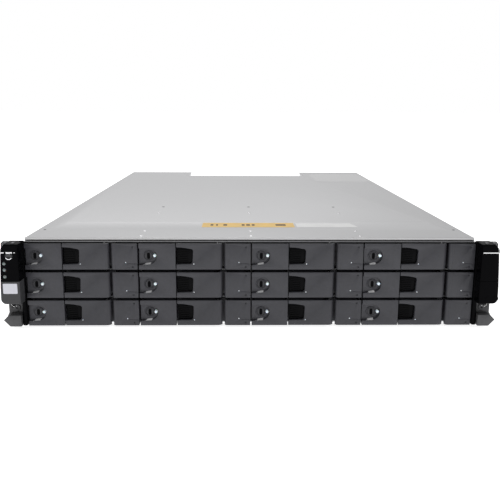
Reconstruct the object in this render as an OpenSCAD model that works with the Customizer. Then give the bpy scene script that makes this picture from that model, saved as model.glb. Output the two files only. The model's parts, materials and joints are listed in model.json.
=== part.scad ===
// Rack-mount network storage enclosure, two rack units high, twelve 3.5 inch drive bays.
// Frame: +Z up, the drive fronts face -Y, origin at the middle of the footprint.

/* [Enclosure] */
// Width of the steel case
case_w = 443; // [441:0.5:445]
// Height of the case, to the flat of the top cover
case_h = 87.5; // [87.2:0.1:88]
// Length of the top cover, front lip to rear edge
cover_d = 590; // [575:5:620]
// Thickness of the case walls and floor
wall_t = 1.2; // [1:0.1:1.2]
// Thickness of the top cover
cover_t = 1.0; // [0.8:0.1:1.2]

/* [Rack ears] */
// Width over the two rack flanges
flange_w = 482.6; // [480:0.1:483]
// Thickness of the rack flanges
flange_t = 2.0; // [1.6:0.1:2.4]
// Height of the lower rack hole above the underside
rack_hole_z = 22.25; // [22:0.05:22.5]
// Distance between the two rack holes of an ear
rack_hole_pitch = 44.45; // [44.45:0.01:44.45]
// Distance between the rack hole columns
rack_hole_span = 465.1; // [464:0.1:466]
// Radius of a rack hole
rack_hole_r = 3.4; // [3:0.1:3.8]
// Reach of the ear caps in front of the cover's lip
cap_reach = 27; // [24:1:30]

/* [Drive bays] */
// Distance between the left edges of two neighbouring bays
bay_pitch_x = 109.2; // [109:0.1:109.4]
// Distance between the lower edges of two bays, one above the other
bay_pitch_z = 28.4; // [28.2:0.1:28.4]
// Height of a drive front
front_h = 26.2; // [26:0.1:26.2]
// Length of a disk drive
disk_l = 147; // [100:1:147]
// Width of a disk drive
disk_w = 101.6; // [100:0.1:101.6]
// Height of a disk drive
disk_h = 25.9; // [19:0.1:25.9]

/* [Rear modules] */
// Width of one I/O module
io_w = 211; // [205:1:211]
// Height of one I/O module
io_h = 39; // [36:0.5:39]
// Depth of one I/O module
io_d = 350; // [300:5:355]
// Depth of one power supply
psu_d = 400; // [300:5:405]
// Radius of a power supply's fan opening
fan_r = 36; // [34:0.5:37]

/* [Hidden] */
$fn = 48;
eps = 0.01;
rows = [1, 2, 3];
cols = [1, 2, 3, 4];
tail_reach = 13;                       // what stands behind the cover's rear edge
total_d = cap_reach + cover_d + tail_reach;
front_y = -total_d / 2;                // most forward point
lip_y = front_y + cap_reach;           // front lip of the cover
cover_end_y = lip_y + cover_d;
face_y = lip_y - 12.8;                 // drive fronts
flange_y = lip_y - 9;                  // front face of the rack flanges
side_x = case_w / 2 - cover_t - 0.3;   // outside of the case's side walls
roof_z = case_h - cover_t;             // underside of the cover
bay_base_z = 1.4;
clear = 0.3;                           // working clearance between sliding pieces
seam = 0.03;                           // keeps pieces that are fixed to each other separate solids

// drive carrier, measured inside its bay: x from the bay's left edge, y from the drive front
bezel_x0 = 0.7;
bezel_x1 = 36.0;
handle_x0 = 36.8;
pivot_x = 76.4;
pivot_y = 5.2;
right_x0 = 83.2;
right_x1 = bay_pitch_x - 0.7;
bezel_t = 5;
beam_y = 14;                           // cross beam behind the handle
disk_y = 18;
rail_l = 132;
pocket_deep = 3.4;
pocket_z0 = 6.6;
pocket_z1 = 22.6;
lock_x = 9.6;
lock_r = 5.0;
pin_r = 1.25;
pin_bore_r = 1.30;
plate_t = 2.3;                         // front plate of the handle
window_x1 = 52.8;                      // right edge of the handle's window
latch_t = 2.0;
latch_z0 = 4.0;
latch_z1 = 22.8;

board_y = face_y + disk_y + disk_l + 8.3; // midplane, just behind the drives' connectors
board_t = 2.0;
wall_x = io_w / 2 + 1.1;               // middle of the walls between the rear modules
io_end_y = lip_y + 535;
io_z = [43.2, 2.4];                    // upper and lower module
psu_end_y = cover_end_y + 2;
psu_w = side_x - wall_t - wall_x - 1.2;
psu_x0 = wall_x + 0.9;
psu_z0 = 1.5;
psu_h = 83.6;
fan_u = 46;                            // fan axis, from the power supply's inner side
fan_z = 43;
fan_y = psu_end_y - 28;
shaft_r = 2.0;
inlet_u = 96;
inlet_z = [20, 49];                    // power inlet, from the power supply's underside
lever_z = 9;
lever_y = psu_end_y + 7;
lever_half = 34;                       // half the width of a power supply's lever
io_lever_y = io_end_y + 9;
io_lever_z = 30;                       // from the module's underside
io_lever_half = 33.8;
arm_w = 4;                             // width of the levers' arms
lever_ear_t = 3.2;
lever_gap = 0.4;                       // between a lever's arm and the ear beside it
socket_us = [22, 50, 118, 142, 166];   // left edges of the sockets in a module's rear panel
socket_ws = [18, 18, 14, 14, 14];
socket_z = [9.2, 20.2];
socket_deep = 16.5;
socket_wall = 1.2;

// left ear cap: button and lamps, drawn on the +X side and mirrored
button_x = 227.2;
button_z = 75.3;
button_r = 3.0;
lamp_x = 235.2;
lamp_zs = [67.9, 61.8, 55.2];
lamp_r = 1.5;
cap_z0 = 28;
cap_z1 = case_h - 1;
cap_wall = 1.4;
bar_x0 = side_x - 1.9;                 // bar between an ear cap and the drive fronts
bar_x1 = side_x + 2.4;
bar_t = 6;
front_board_y = front_y + 10;          // circuit board behind the left cap
base_z = 2.5;                          // lower edge of the ears
rivet_ys = [11.6, 34.9, 137.6, 184.6]; // rows of rivets, behind the cover's lip
divider_t = 0.8;
rail_x = side_x - 1.7;          // half the length of the rail above the drive fronts
rail_z = bay_base_z + 2 * bay_pitch_z + front_h + 0.3;

function bay_x(c) = (c - 3) * bay_pitch_x;
function bay_z(r) = bay_base_z + (3 - r) * bay_pitch_z;
function bay_name(part, r, c) = str(part, "_", r, c);
function arc(x, y, r, a0, a1, n = 8) =
    [for (i = [0:n]) [x + r * cos(a0 + (a1 - a0) * i / n), y + r * sin(a0 + (a1 - a0) * i / n)]];

// ---- helpers ----

// Box given by its lowest and highest corners
module block(lo, hi) {
    translate(lo)
        cube([hi[0] - lo[0], hi[1] - lo[1], hi[2] - lo[2]]);
}

// Cylinder along +Y, starting at a point
module rod_y(at, r, l) {
    translate(at)
        rotate([-90, 0, 0])
            cylinder(r = r, h = l);
}

// Left and right copies of a shape that is drawn on the +X side
module on_side(side) {
    if (side < 0)
        mirror([1, 0, 0])
            children();
    else
        children();
}

// Plan outline raised between two heights
module raised(points, z0, z1) {
    translate([0, 0, z0])
        linear_extrude(height = z1 - z0)
            polygon(points);
}

// Outline in the X-Z plane, carried along Y from y0 to y1
module faced(points, y0, y1) {
    translate([0, y1, 0])
        rotate([90, 0, 0])
            linear_extrude(height = y1 - y0)
                polygon(points);
}

// ---- case ----

module chassis_tub() {
    color("silver") {
        block([-side_x, lip_y, 0], [side_x, cover_end_y, wall_t]);
        for (s = [-1, 1])
            on_side(s)
                block([side_x - wall_t, lip_y + cover_t + clear, 0], [side_x, cover_end_y, roof_z]);
    }
}

module top_cover() {
    notch_x = io_w / 2 + 0.5;
    skirt_z = case_h - 12;
    color("gainsboro") {
        difference() {
            block([-case_w / 2, lip_y, roof_z], [case_w / 2, cover_end_y, case_h]);
            block([-notch_x, cover_end_y - 60, roof_z - 1], [notch_x, cover_end_y + 1, case_h + 1]);
            // shallow stamped band across the front
            faced_band();
        }
        for (s = [-1, 1])
            on_side(s)
                block([case_w / 2 - cover_t, lip_y + 2, skirt_z], [case_w / 2, cover_end_y, roof_z + eps]);
        block([-case_w / 2, lip_y, roof_z - 1.2], [case_w / 2, lip_y + cover_t, roof_z + eps]);
    }
}

// The recess that stiffens the front of the cover
module faced_band() {
    x1 = case_w / 2 - 10;
    x0 = x1 - 12;
    y0 = lip_y + 39;
    y1 = lip_y + 84;
    raised([[-x1, y0], [x1, y0], [x0, y1], [-x0, y1]], case_h - 0.3, case_h + 1);
}

module rivets() {
    color("white")
        for (x = [-bay_pitch_x, 0, bay_pitch_x])
            for (y = rivet_ys)
                translate([x, lip_y + y, case_h])
                    cylinder(r1 = 2.0, r2 = 1.4, h = 0.4, $fn = 24);
}

module bay_dividers() {
    color("lightgray")
        for (x = [-bay_pitch_x, 0, bay_pitch_x])
            block([x - divider_t / 2, lip_y + 2, wall_t], [x + divider_t / 2, board_y - 0.5, roof_z]);
}

module bay_shelves() {
    color("lightgray")
        for (r = [1, 2])
            for (c = cols)
                block([bay_x(c) + 0.7, lip_y + 6, bay_z(r) - 1.1],
                      [bay_x(c) + bay_pitch_x - 0.7, board_y - 0.5, bay_z(r) - clear]);
    // narrow rail above the top row of drive fronts
    color("gray")
        block([-rail_x, face_y + 4.5, rail_z], [rail_x, lip_y + 1.6, rail_z + 0.5]);
}

module midplane_board() {
    x1 = side_x - wall_t - 6;
    color("darkgreen")
        difference() {
            block([-x1, board_y, 3], [x1, board_y + board_t, roof_z - 2]);
            for (r = rows)
                for (c = cols)
                    block([bay_x(c) + 62, board_y - 1, bay_z(r) + 4],
                          [bay_x(c) + 98, board_y + board_t + 1, bay_z(r) + 22]);
        }
}

// One connector for each drive at the front, and one for each rear module at the back
module midplane_connectors() {
    back_y = board_y + board_t;
    color("dimgray") {
        for (r = rows)
            for (c = cols)
                block([bay_x(c) + 12, board_y - 8, bay_z(r) + 2],
                      [bay_x(c) + 54, board_y, bay_z(r) + 8]);
        for (z = io_z)
            block([-40, back_y, z + 12], [40, io_end_y - io_d - 0.5, z + 26]);
        for (s = [-1, 1])
            on_side(s)
                block([150, back_y, 30], [190, psu_end_y - psu_d - 0.5, 50]);
    }
}

module rear_frame() {
    shelf_z = (io_z[0] + io_z[1] + io_h) / 2;
    color("silver") {
        for (s = [-1, 1])
            on_side(s)
                block([wall_x - 0.5, board_y + 20, wall_t], [wall_x + 0.5, io_end_y, roof_z]);
        block([-wall_x, board_y + 20, shelf_z - 0.5], [wall_x, io_end_y - 4, shelf_z + 0.5]);
    }
}

// ---- rack ears ----

module flange(side) {
    inner_x = side_x - 1.6;
    outer_x = flange_w / 2;
    neck_x = outer_x - 3.8;
    foot_x = outer_x - 1.3;
    foot_x0 = bar_x1 + clear;
    top_z = case_h - 2;
    color("darkslategray")
        on_side(side) {
            difference() {
                faced([[inner_x, base_z], [foot_x - 6, base_z], [foot_x, 9], [neck_x, 14], [neck_x, cap_z0],
                       [outer_x, cap_z0], [outer_x, top_z], [inner_x, top_z]],
                      flange_y, flange_y + flange_t);
                for (z = [rack_hole_z, rack_hole_z + rack_hole_pitch])
                    rod_y([rack_hole_span / 2, flange_y - 1, z], rack_hole_r, flange_t + 2);
            }
            // leg riveted to the side of the case
            block([side_x, flange_y + flange_t - eps, 4], [side_x + 1.2, lip_y + 60, 72]);
            // arrow-shaped foot that stands forward of the flange
            faced([[foot_x0, base_z], [foot_x - 6, base_z], [foot_x, 9], [foot_x - 5, 14], [foot_x0, 14]],
                  front_y + 9, flange_y + eps);
        }
}

// Plan outline of an ear cap, or of its inside when inset is more than 0
function cap_plan(inset) = let (
        x0 = side_x + 1.8 + inset,
        x1 = flange_w / 2 - inset,
        y0 = front_y + 0.6 + inset,
        y1 = flange_y - clear,
        r = 6 - inset)
    concat(
        [[x0, y1], [x1, y1]],
        [for (p = arc(x1 - r, y0 + r, r, 0, -90)) p],
        [for (p = arc(x0 + r, y0 + r, r, -90, -180)) p]
    );

module ear_cap(side) {
    bar_y = flange_y - bar_t;
    color("black")
        on_side(side)
            difference() {
                union() {
                    raised(cap_plan(0), cap_z0, cap_z1);
                    // two small stops on the top edge
                    for (x = [226, 233.5])
                        block([x - 1.4, front_y + 4, cap_z1 - eps], [x + 1.4, front_y + 8, case_h + 0.3]);
                    // bar beside the drive fronts, over the full height
                    block([bar_x0, bar_y, base_z], [bar_x1, flange_y - clear, cap_z1]);
                }
                difference() {
                    raised(cap_plan(cap_wall), cap_z0 + cap_wall, cap_z1 - cap_wall);
                    block([bar_x0, bar_y - eps, 0], [bar_x1, flange_y, case_h]);
                }
                block([side_x + 4, flange_y - 1.5, cap_z0 + cap_wall],
                      [flange_w / 2 - cap_wall, flange_y, cap_z1 - cap_wall]);
                // chamfer under the cap's nose
                translate([side_x, front_y, cap_z0])
                    rotate([45, 0, 0])
                        cube([30, 8, 8]);
                if (side < 0)
                    panel_holes();
            }
}

// Holes for the button and the indicator lights, drawn on the +X side
module panel_holes() {
    rod_y([button_x, front_y, button_z], button_r + 0.3, 8);
    for (z = lamp_zs)
        rod_y([lamp_x, front_y, z], lamp_r + 0.25, 8);
}

module power_button() {
    color("gainsboro")
        on_side(-1) {
            rod_y([button_x, front_y, button_z], button_r, 5.9);
            rod_y([button_x, front_y + 5.8, button_z], button_r + 0.45, 0.8);
        }
}

module indicator_board() {
    color("green")
        on_side(-1) {
            // circuit board that carries the switch and the lights
            block([side_x + 4.2, front_board_y, 48], [flange_w / 2 - 2.4, front_board_y + 1.4, 80]);
            rod_y([button_x, front_y + 8, button_z], 2, front_board_y - front_y - 8);
            for (z = lamp_zs)
                rod_y([lamp_x, front_y + 0.5, z], lamp_r, front_board_y - front_y - 0.5);
        }
}

// ---- power supplies ----

module psu_place(side) {
    on_side(side)
        translate([psu_x0, 0, psu_z0])
            children();
}

module psu_case(side) {
    t = 1.2;
    y0 = psu_end_y - psu_d;
    fan_seat = fan_z - psu_z0;
    color("gray")
        psu_place(side) {
            difference() {
                block([0, y0, 0], [psu_w, psu_end_y, psu_h]);
                block([t, y0 + t, t], [psu_w - t, psu_end_y - 2, psu_h - t]);
                rod_y([fan_u, psu_end_y - 3, fan_seat], fan_r, 4);
                block([inlet_u - 10, psu_end_y - 3, inlet_z[0]],
                      [inlet_u + 10, psu_end_y + 1, inlet_z[1]]);
                // air slots in the inner end
                for (i = [0:5])
                    block([12 + i * 15, y0 - 1, 14], [21 + i * 15, y0 + t + 1, 70]);
            }
            // shroud of the power inlet, open to the rear
            difference() {
                block([inlet_u - 11.4, psu_end_y - 20, inlet_z[0] - 1.4],
                      [inlet_u + 11.4, psu_end_y - 2 + eps, inlet_z[1] + 1.4]);
                block([inlet_u - 10, psu_end_y - 18, inlet_z[0]], [inlet_u + 10, psu_end_y, inlet_z[1]]);
            }
            // finger guard and motor mount of the fan
            for (r = [17, 26.5])
                translate([fan_u, psu_end_y - 1, fan_seat])
                    rotate([-90, 0, 0])
                        rotate_extrude()
                            translate([r, 0])
                                square([1.4, 1]);
            for (a = [45, 135])
                translate([fan_u, psu_end_y - 2, fan_seat])
                    rotate([0, a, 0])
                        block([-fan_r - 0.5, 0, -0.8], [fan_r + 0.5, 1.1, 0.8]);
            rod_y([fan_u, psu_end_y - 4, fan_seat], 10, 4);
            rod_y([fan_u, fan_y - 10, fan_seat], shaft_r, psu_end_y - 4 - fan_y + 10 + eps);
            // ears that carry the lever
            lever_ears(fan_u, psu_end_y, lever_half, lever_y, lever_z - psu_z0, 4);
        }
}

// Pair of ears behind a panel, with stub pins that stand inward into the lever's two bores
module lever_ears(middle, panel_y, half, pivot_y, pivot_z, reach) {
    out = half + lever_gap;
    for (s = [-1, 1])
        translate([middle, 0, 0])
            on_side(s) {
                block([out, panel_y - eps, pivot_z - reach],
                      [out + lever_ear_t, pivot_y + reach, pivot_z + reach]);
                translate([out - 3, pivot_y, pivot_z])
                    rotate([0, 90, 0])
                        cylinder(r = pin_r, h = 3 + eps);
            }
}

// Bore through both arms of a lever
module lever_bore(middle, half, pivot_y, pivot_z) {
    translate([middle - half - 1, pivot_y, pivot_z])
        rotate([0, 90, 0])
            cylinder(r = pin_bore_r, h = 2 * half + 2);
}

// Arm of a lever with a round end about its pivot
module lever_arm(u, pivot_y, pivot_z, end_z, half_t, round_r) {
    block([u, pivot_y - half_t, min(pivot_z, end_z)], [u + arm_w, pivot_y + half_t, max(pivot_z, end_z)]);
    translate([u, pivot_y, pivot_z])
        rotate([0, 90, 0])
            cylinder(r = round_r, h = arm_w);
}

module psu_lever(side) {
    u0 = fan_u - lever_half;
    u1 = fan_u + lever_half;
    pivot = lever_z - psu_z0;
    top = pivot + 52;
    color("black")
        psu_place(side)
            difference() {
                union() {
                    for (u = [u0, u1 - arm_w])
                        lever_arm(u, lever_y, pivot, top, 2.5, 3.4);
                    block([u0, lever_y - 2.5, top - 6], [u1, lever_y + 3.5, top]);
                }
                lever_bore(fan_u, lever_half, lever_y, pivot);
            }
}

module fan_rotor(side) {
    blades = 7;
    color("dimgray")
        psu_place(side)
            translate([fan_u, fan_y - 10, fan_z - psu_z0])
                rotate([-90, 0, 0])
                    difference() {
                        union() {
                            cylinder(r = 14, h = 20);
                            for (i = [0:blades - 1])
                                rotate([0, 0, i * 360 / blades])
                                    translate([13, 0, 10])
                                        rotate([38, 0, 0])
                                            translate([0, -0.7, -10])
                                                cube([fan_r - 15.5, 1.4, 20]);
                        }
                        translate([0, 0, -1])
                            cylinder(r = shaft_r + 0.05, h = 22);
                    }
}

// ---- I/O modules ----

// Space of one socket, or of its housing when it is grown by a wall
module socket_box(i, wall, y0, y1) {
    block([socket_us[i] - wall, y0, socket_z[0] - wall],
          [socket_us[i] + socket_ws[i] + wall, y1, socket_z[1] + wall]);
}

module io_module(z0) {
    t = 1.0;
    y0 = io_end_y - io_d;
    color("silver")
        translate([-io_w / 2, 0, z0]) {
            difference() {
                union() {
                    difference() {
                        block([0, y0, 0], [io_w, io_end_y, io_h]);
                        block([t, y0 + t, t], [io_w - t, io_end_y - t, io_h - t]);
                    }
                    // socket housings behind the rear panel
                    for (i = [0:4])
                        socket_box(i, socket_wall, io_end_y - socket_deep - 1.5, io_end_y - 0.5);
                }
                for (i = [0:4])
                    socket_box(i, 0, io_end_y - socket_deep, io_end_y + 1);
                // connector window towards the midplane
                block([60, y0 - 1, 10], [150, y0 + t + 1, 28]);
            }
            // main board
            block([8, y0 + 6, 5], [io_w - 8, io_end_y - 19, 6.6]);
            for (u = [40, 110])
                block([u, y0 + 120, 6.6], [u + 40, y0 + 165, 22]);
            lever_ears(io_w / 2, io_end_y, io_lever_half, io_lever_y, io_lever_z, 3.4);
        }
}

module io_lever(z0) {
    u0 = io_w / 2 - io_lever_half;
    u1 = io_w / 2 + io_lever_half;
    color("black")
        translate([-io_w / 2, 0, z0])
            difference() {
                union() {
                    for (u = [u0, u1 - arm_w])
                        lever_arm(u, io_lever_y, io_lever_z, 6, 2, 3);
                    block([u0, io_lever_y - 2, 4], [u1, io_lever_y + 3, 9]);
                }
                lever_bore(io_w / 2, io_lever_half, io_lever_y, io_lever_z);
            }
}

// ---- drive bay ----

module in_bay(r, c) {
    translate([bay_x(c), face_y, bay_z(r)])
        children();
}

// Outline of the lock's pocket: open to the left edge, round on the right
function pocket_outline() = let (
        zm = (pocket_z0 + pocket_z1) / 2,
        h = (pocket_z1 - pocket_z0) / 2,
        xr = 17.5 - h)
    concat([[bezel_x0 - 1, pocket_z1], [bezel_x0 - 1, pocket_z0]], arc(xr, zm, h, -90, 90, 12));

module carrier(r, c) {
    disk_x = (bay_pitch_x - disk_w) / 2;
    lock_z = (pocket_z0 + pocket_z1) / 2;
    color("dimgray")
        in_bay(r, c) {
            carrier_front();
            // side rails, drive and lock
            for (x = [1.2, bay_pitch_x - 3.4])
                block([x, beam_y + 2, 2.5], [x + 2.2, disk_y + rail_l, 19]);
            disk_drive(disk_x);
            difference() {
                rod_y([lock_x, 0.6, lock_z], lock_r, pocket_deep - 0.6 - seam);
                block([lock_x - 1, 0, lock_z - 3], [lock_x + 1, 1.6, lock_z + 3]);
            }
            rod_y([15.6, 1.6, lock_z - 0.2], 0.9, pocket_deep - 1.6 - seam);
        }
}

// Moulded front of a carrier: two bezels joined by a cross beam behind the handle
module carrier_front() {
    left_wall_x = bezel_x1 - 1.6;
    tab_r = 1.9;
    difference() {
        block([bezel_x0, 0, 0], [bezel_x1, bezel_t, front_h]);
        faced(pocket_outline(), -1, pocket_deep);
    }
    block([bezel_x0, bezel_t - eps, 0], [bezel_x0 + 1.6, beam_y + eps, front_h]);
    block([left_wall_x, bezel_t - eps, 0], [bezel_x1, beam_y + eps, front_h]);
    raised(concat(arc(right_x0 + 3, 3, 3, 180, 270),
                  [[right_x1, 0], [right_x1, bezel_t], [right_x0, bezel_t]]),
           0, front_h);
    block([right_x0 + 2, bezel_t - eps, 0], [right_x0 + 3.6, beam_y + eps, front_h]);
    block([right_x1 - 1.6, bezel_t - eps, 0], [right_x1, beam_y + eps, front_h]);
    block([bezel_x0, beam_y, 0], [right_x1, beam_y + 2.2, front_h]);
    // hinge tabs and pin
    for (z = [0, front_h - 2.9])
        hinge_tab(z, tab_r);
    translate([pivot_x, pivot_y, 0])
        cylinder(r = pin_r, h = front_h);
}

// Tab of the cross beam that holds one end of the hinge pin
module hinge_tab(z, r) {
    raised(concat(arc(pivot_x, pivot_y, r, 180, 360),
                  [[pivot_x + r, beam_y + 0.1], [pivot_x - r, beam_y + 0.1]]),
           z, z + 2.9);
}

// Disk drive: cast base with a raised lid and a circuit board side below
module disk_drive(x) {
    block([x, disk_y, 0.25], [x + disk_w, disk_y + disk_l, disk_h - 3]);
    block([x + 2.5, disk_y + 2.5, disk_h - 3 - eps],
          [x + disk_w - 2.5, disk_y + disk_l - 2.5, disk_h + 0.25]);
}

// Handle: front plate whose right end wraps round the pivot, barrel and stiffening edges
module handle(r, c) {
    wrap = -20;
    color("dimgray")
        in_bay(r, c) {
            difference() {
                union() {
                    raised(concat([[handle_x0, 0]],
                                  arc(pivot_x, pivot_y, pivot_y, -90, wrap),
                                  arc(pivot_x, pivot_y, pivot_y - plate_t, wrap, -90),
                                  [[handle_x0, plate_t]]),
                           0, front_h);
                    translate([pivot_x, pivot_y, 3.2])
                        cylinder(r = 4.4, h = front_h - 6.4);
                    for (z = [0, front_h - 1.2])
                        block([handle_x0 + 1, plate_t - eps, z], [70, 8, z + 1.2]);
                }
                // window through which the latch is pressed
                faced([[handle_x0 - 1, 5], [window_x1, 7], [window_x1, 19.6], [handle_x0 - 1, 21.6]],
                      -1, plate_t + 1);
                translate([pivot_x, pivot_y, -1])
                    cylinder(r = pin_bore_r, h = front_h + 2);
            }
        }
}

// Ribbed finger latch that slides behind the handle's front plate
module latch(r, c) {
    color("black")
        in_bay(r, c) {
            block([handle_x0 + 0.6, plate_t + clear, latch_z0], [57, plate_t + clear + latch_t, latch_z1]);
            for (i = [0:3])
                block([handle_x0 + 1.2, plate_t - 0.6, 7.5 + i * 3.4],
                      [48.8, plate_t + clear + eps, 8.5 + i * 3.4]);
        }
}

chassis_tub();
top_cover();
bay_dividers();
bay_shelves();
midplane_board();
midplane_connectors();
rear_frame();
flange(-1);  // flange_left
flange(1);  // flange_right
ear_cap(-1);  // ear_cap_left
ear_cap(1);  // ear_cap_right
power_button();
indicator_board();
rivets();
psu_case(-1);  // psu_case_left
psu_case(1);  // psu_case_right
psu_lever(-1);  // psu_lever_left
psu_lever(1);  // psu_lever_right
fan_rotor(-1);  // fan_rotor_left
fan_rotor(1);  // fan_rotor_right
io_module(io_z[0]);  // io_module_upper
io_module(io_z[1]);  // io_module_lower
io_lever(io_z[0]);  // io_lever_upper
io_lever(io_z[1]);  // io_lever_lower
for (r = rows)
    for (c = cols) {
        carrier(r, c);
        handle(r, c);
        latch(r, c);
    }
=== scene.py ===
"""Looks of a rack-mount storage enclosure, two rack units high, built round its fixed frame."""
import json
import math

import bmesh
import bpy
from mathutils import Euler, Matrix, Vector


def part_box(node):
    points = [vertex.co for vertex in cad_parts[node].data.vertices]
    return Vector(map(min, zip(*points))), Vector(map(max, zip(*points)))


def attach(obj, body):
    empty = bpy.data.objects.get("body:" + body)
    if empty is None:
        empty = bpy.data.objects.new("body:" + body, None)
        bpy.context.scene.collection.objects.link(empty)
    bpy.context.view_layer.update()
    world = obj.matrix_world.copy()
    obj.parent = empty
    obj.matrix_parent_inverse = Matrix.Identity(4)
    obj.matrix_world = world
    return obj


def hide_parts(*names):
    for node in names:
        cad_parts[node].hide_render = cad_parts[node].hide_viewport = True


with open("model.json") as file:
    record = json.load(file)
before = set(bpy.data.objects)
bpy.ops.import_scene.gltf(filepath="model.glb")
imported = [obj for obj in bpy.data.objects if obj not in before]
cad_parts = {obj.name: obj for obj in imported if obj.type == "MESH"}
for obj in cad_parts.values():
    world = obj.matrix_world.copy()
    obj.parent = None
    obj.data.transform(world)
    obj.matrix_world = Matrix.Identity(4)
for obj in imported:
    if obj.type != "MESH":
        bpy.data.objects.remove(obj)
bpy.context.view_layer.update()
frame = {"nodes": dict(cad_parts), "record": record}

bl_info = {
    "name": "Storage enclosure",
    "version": (1, 0, 0),
    "blender": (4, 5, 0),
    "location": "3D View > Sidebar > Enclosure",
    "description": "Models and finishes the visible pieces of a rack-mount storage enclosure",
    "category": "Add Mesh",
}

MM = 0.001
ROWS = (1, 2, 3)
COLUMNS = (1, 2, 3, 4)
SIDES = {"left": -1, "right": 1}
SMOOTH_ANGLE = math.radians(32)


def corners(node):
    """Lowest and highest corner of a frame node, in millimetres."""
    low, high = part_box(node)
    return low / MM, high / MM


CASE_LOW, CASE_HIGH = corners("chassis_tub")
COVER_LOW, COVER_HIGH = corners("top_cover")
LIP_Y = COVER_LOW.y
COVER_END_Y = COVER_HIGH.y
TOP_Z = COVER_HIGH.z
BAY_EDGE = 0.7                      # from a bay's left edge to its carrier
FRONT_H = corners("handle_11")[1].z - corners("handle_11")[0].z
PSU_LOW, PSU_HIGH = corners("psu_case_right")
PSU_EAR = 11.0                      # reach of the lever's ears behind a power supply's panel
PSU_END_Y = PSU_HIGH.y - PSU_EAR
IO_EAR = 12.4
FAN_U, FAN_Z = 46.0, 41.5           # fan axis, from a power supply's lower inner corner


# ---- settings ----

def length(name, description, default, low=0.0, high=1.0):
    return bpy.props.FloatProperty(name=name, description=description, default=default,
                                   min=low, max=high, unit="LENGTH", precision=5)


def number(name, description, default, low=0.0, high=10.0):
    return bpy.props.FloatProperty(name=name, description=description, default=default, min=low, max=high)


def colour(name, description, default):
    return bpy.props.FloatVectorProperty(name=name, description=description, default=default,
                                         subtype="COLOR", size=3, min=0, max=1)


class EnclosureShape(bpy.types.PropertyGroup):
    """Sizes that a user may change without touching the frame."""
    bend: length("Sheet bend", "Outer radius where the cover's sheet is folded", 0.0012)
    front_round: length("Front rounding", "Rounding on the edges of the moulded drive fronts", 0.0004)
    cap_round: length("Cap rounding", "Rounding round the face of the ear caps", 0.0013)
    band_depth: length("Band depth", "Depth of the band stamped across the cover", 0.0006)
    ribs: bpy.props.IntProperty(name="Latch ribs", description="Ribs on each finger latch",
                                default=6, min=2, max=9)
    blades: bpy.props.IntProperty(name="Fan blades", description="Blades on each fan",
                                  default=7, min=3, max=11)


class EnclosureColours(bpy.types.PropertyGroup):
    """Base colours of the finishes."""
    cover: colour("Cover", "Light grey steel of the top cover", (0.585, 0.585, 0.59))
    front: colour("Drive fronts", "Dark grey moulding of the drive fronts", (0.040, 0.040, 0.047))
    gloss: colour("Ear caps", "Polished black of the ear caps", (0.0015, 0.0015, 0.002))
    latch: colour("Latches", "Black of the finger latches", (0.002, 0.002, 0.0025))
    ear: colour("Ear brackets", "Dark coat on the rack ears", (0.062, 0.062, 0.065))
    zinc: colour("Zinc", "Zinc-plated sheet of the case", (0.62, 0.63, 0.65))
    label: colour("Strip label", "Amber of the wide label", (0.85, 0.56, 0.16))
    paper: colour("Pale labels", "Pale grey of the other labels", (0.80, 0.80, 0.80))
    board: colour("Circuit board", "Solder mask of the boards", (0.015, 0.11, 0.045))
    disk: colour("Disk drives", "Cast aluminium of the disk drives", (0.45, 0.46, 0.47))


class EnclosureStage(bpy.types.PropertyGroup):
    """Camera, light and surround."""
    lens: bpy.props.FloatProperty(name="Lens", description="Focal length", default=41.66, min=10,
                                  unit="CAMERA")
    rise: bpy.props.FloatProperty(name="Vertical shift", description="Lens shift", default=-0.0688)
    place: bpy.props.FloatVectorProperty(name="Camera", description="Place of the camera",
                                         default=(-0.0114, -0.8431, 0.21236), subtype="TRANSLATION")
    pitch: bpy.props.FloatProperty(name="Pitch", description="Downward tilt", default=math.radians(10.5),
                                   subtype="ANGLE")
    yaw: bpy.props.FloatProperty(name="Yaw", description="Turn to the right", default=math.radians(1.05),
                                 subtype="ANGLE")
    roll: bpy.props.FloatProperty(name="Roll", description="Turn about the view", default=math.radians(0.28),
                                  subtype="ANGLE")
    sky: number("Surround", "Strength of the surround as a light", 0.55)
    floor_glow: number("Floor glow", "Light given off by the floor", 0.8)
    key: number("Key light", "Power of the large light above", 7.0, 0, 200)


# ---- modelling tools, all in millimetres ----

def select_only(*objects):
    if bpy.context.object and bpy.context.object.mode != "OBJECT":
        bpy.ops.object.mode_set(mode="OBJECT")
    bpy.ops.object.select_all(action="DESELECT")
    for item in objects:
        item.select_set(True)
    bpy.context.view_layer.objects.active = objects[0] if objects else None


def baked(obj):
    """Puts the object's place and turn into its mesh."""
    select_only(obj)
    bpy.ops.object.transform_apply(location=True, rotation=True, scale=True)
    return obj


def block(low, high):
    low, high = Vector(low), Vector(high)
    select_only()
    bpy.ops.mesh.primitive_cube_add(size=1, location=(low + high) * MM / 2)
    obj = bpy.context.object
    obj.scale = (high - low) * MM
    return baked(obj)


TURN = {"X": Euler((0, math.pi / 2, 0)), "Y": Euler((-math.pi / 2, 0, 0)), "Z": Euler((0, 0, 0))}


def rod(start, radius, reach, axis="Y", end_radius=None, sides=32):
    """Round bar from a point along an axis, tapering if it has an end radius."""
    select_only()
    bpy.ops.mesh.primitive_cone_add(vertices=sides, radius1=radius * MM, depth=reach * MM,
                                    radius2=(radius if end_radius is None else end_radius) * MM)
    obj = bpy.context.object
    obj.data.transform(Matrix.Translation((0, 0, reach * MM / 2)))
    obj.rotation_euler = TURN[axis]
    obj.location = Vector(start) * MM
    return baked(obj)


PLACE = {"X": lambda a, b, c: (c, a, b), "Y": lambda a, b, c: (a, c, b), "Z": lambda a, b, c: (a, b, c)}


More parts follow.
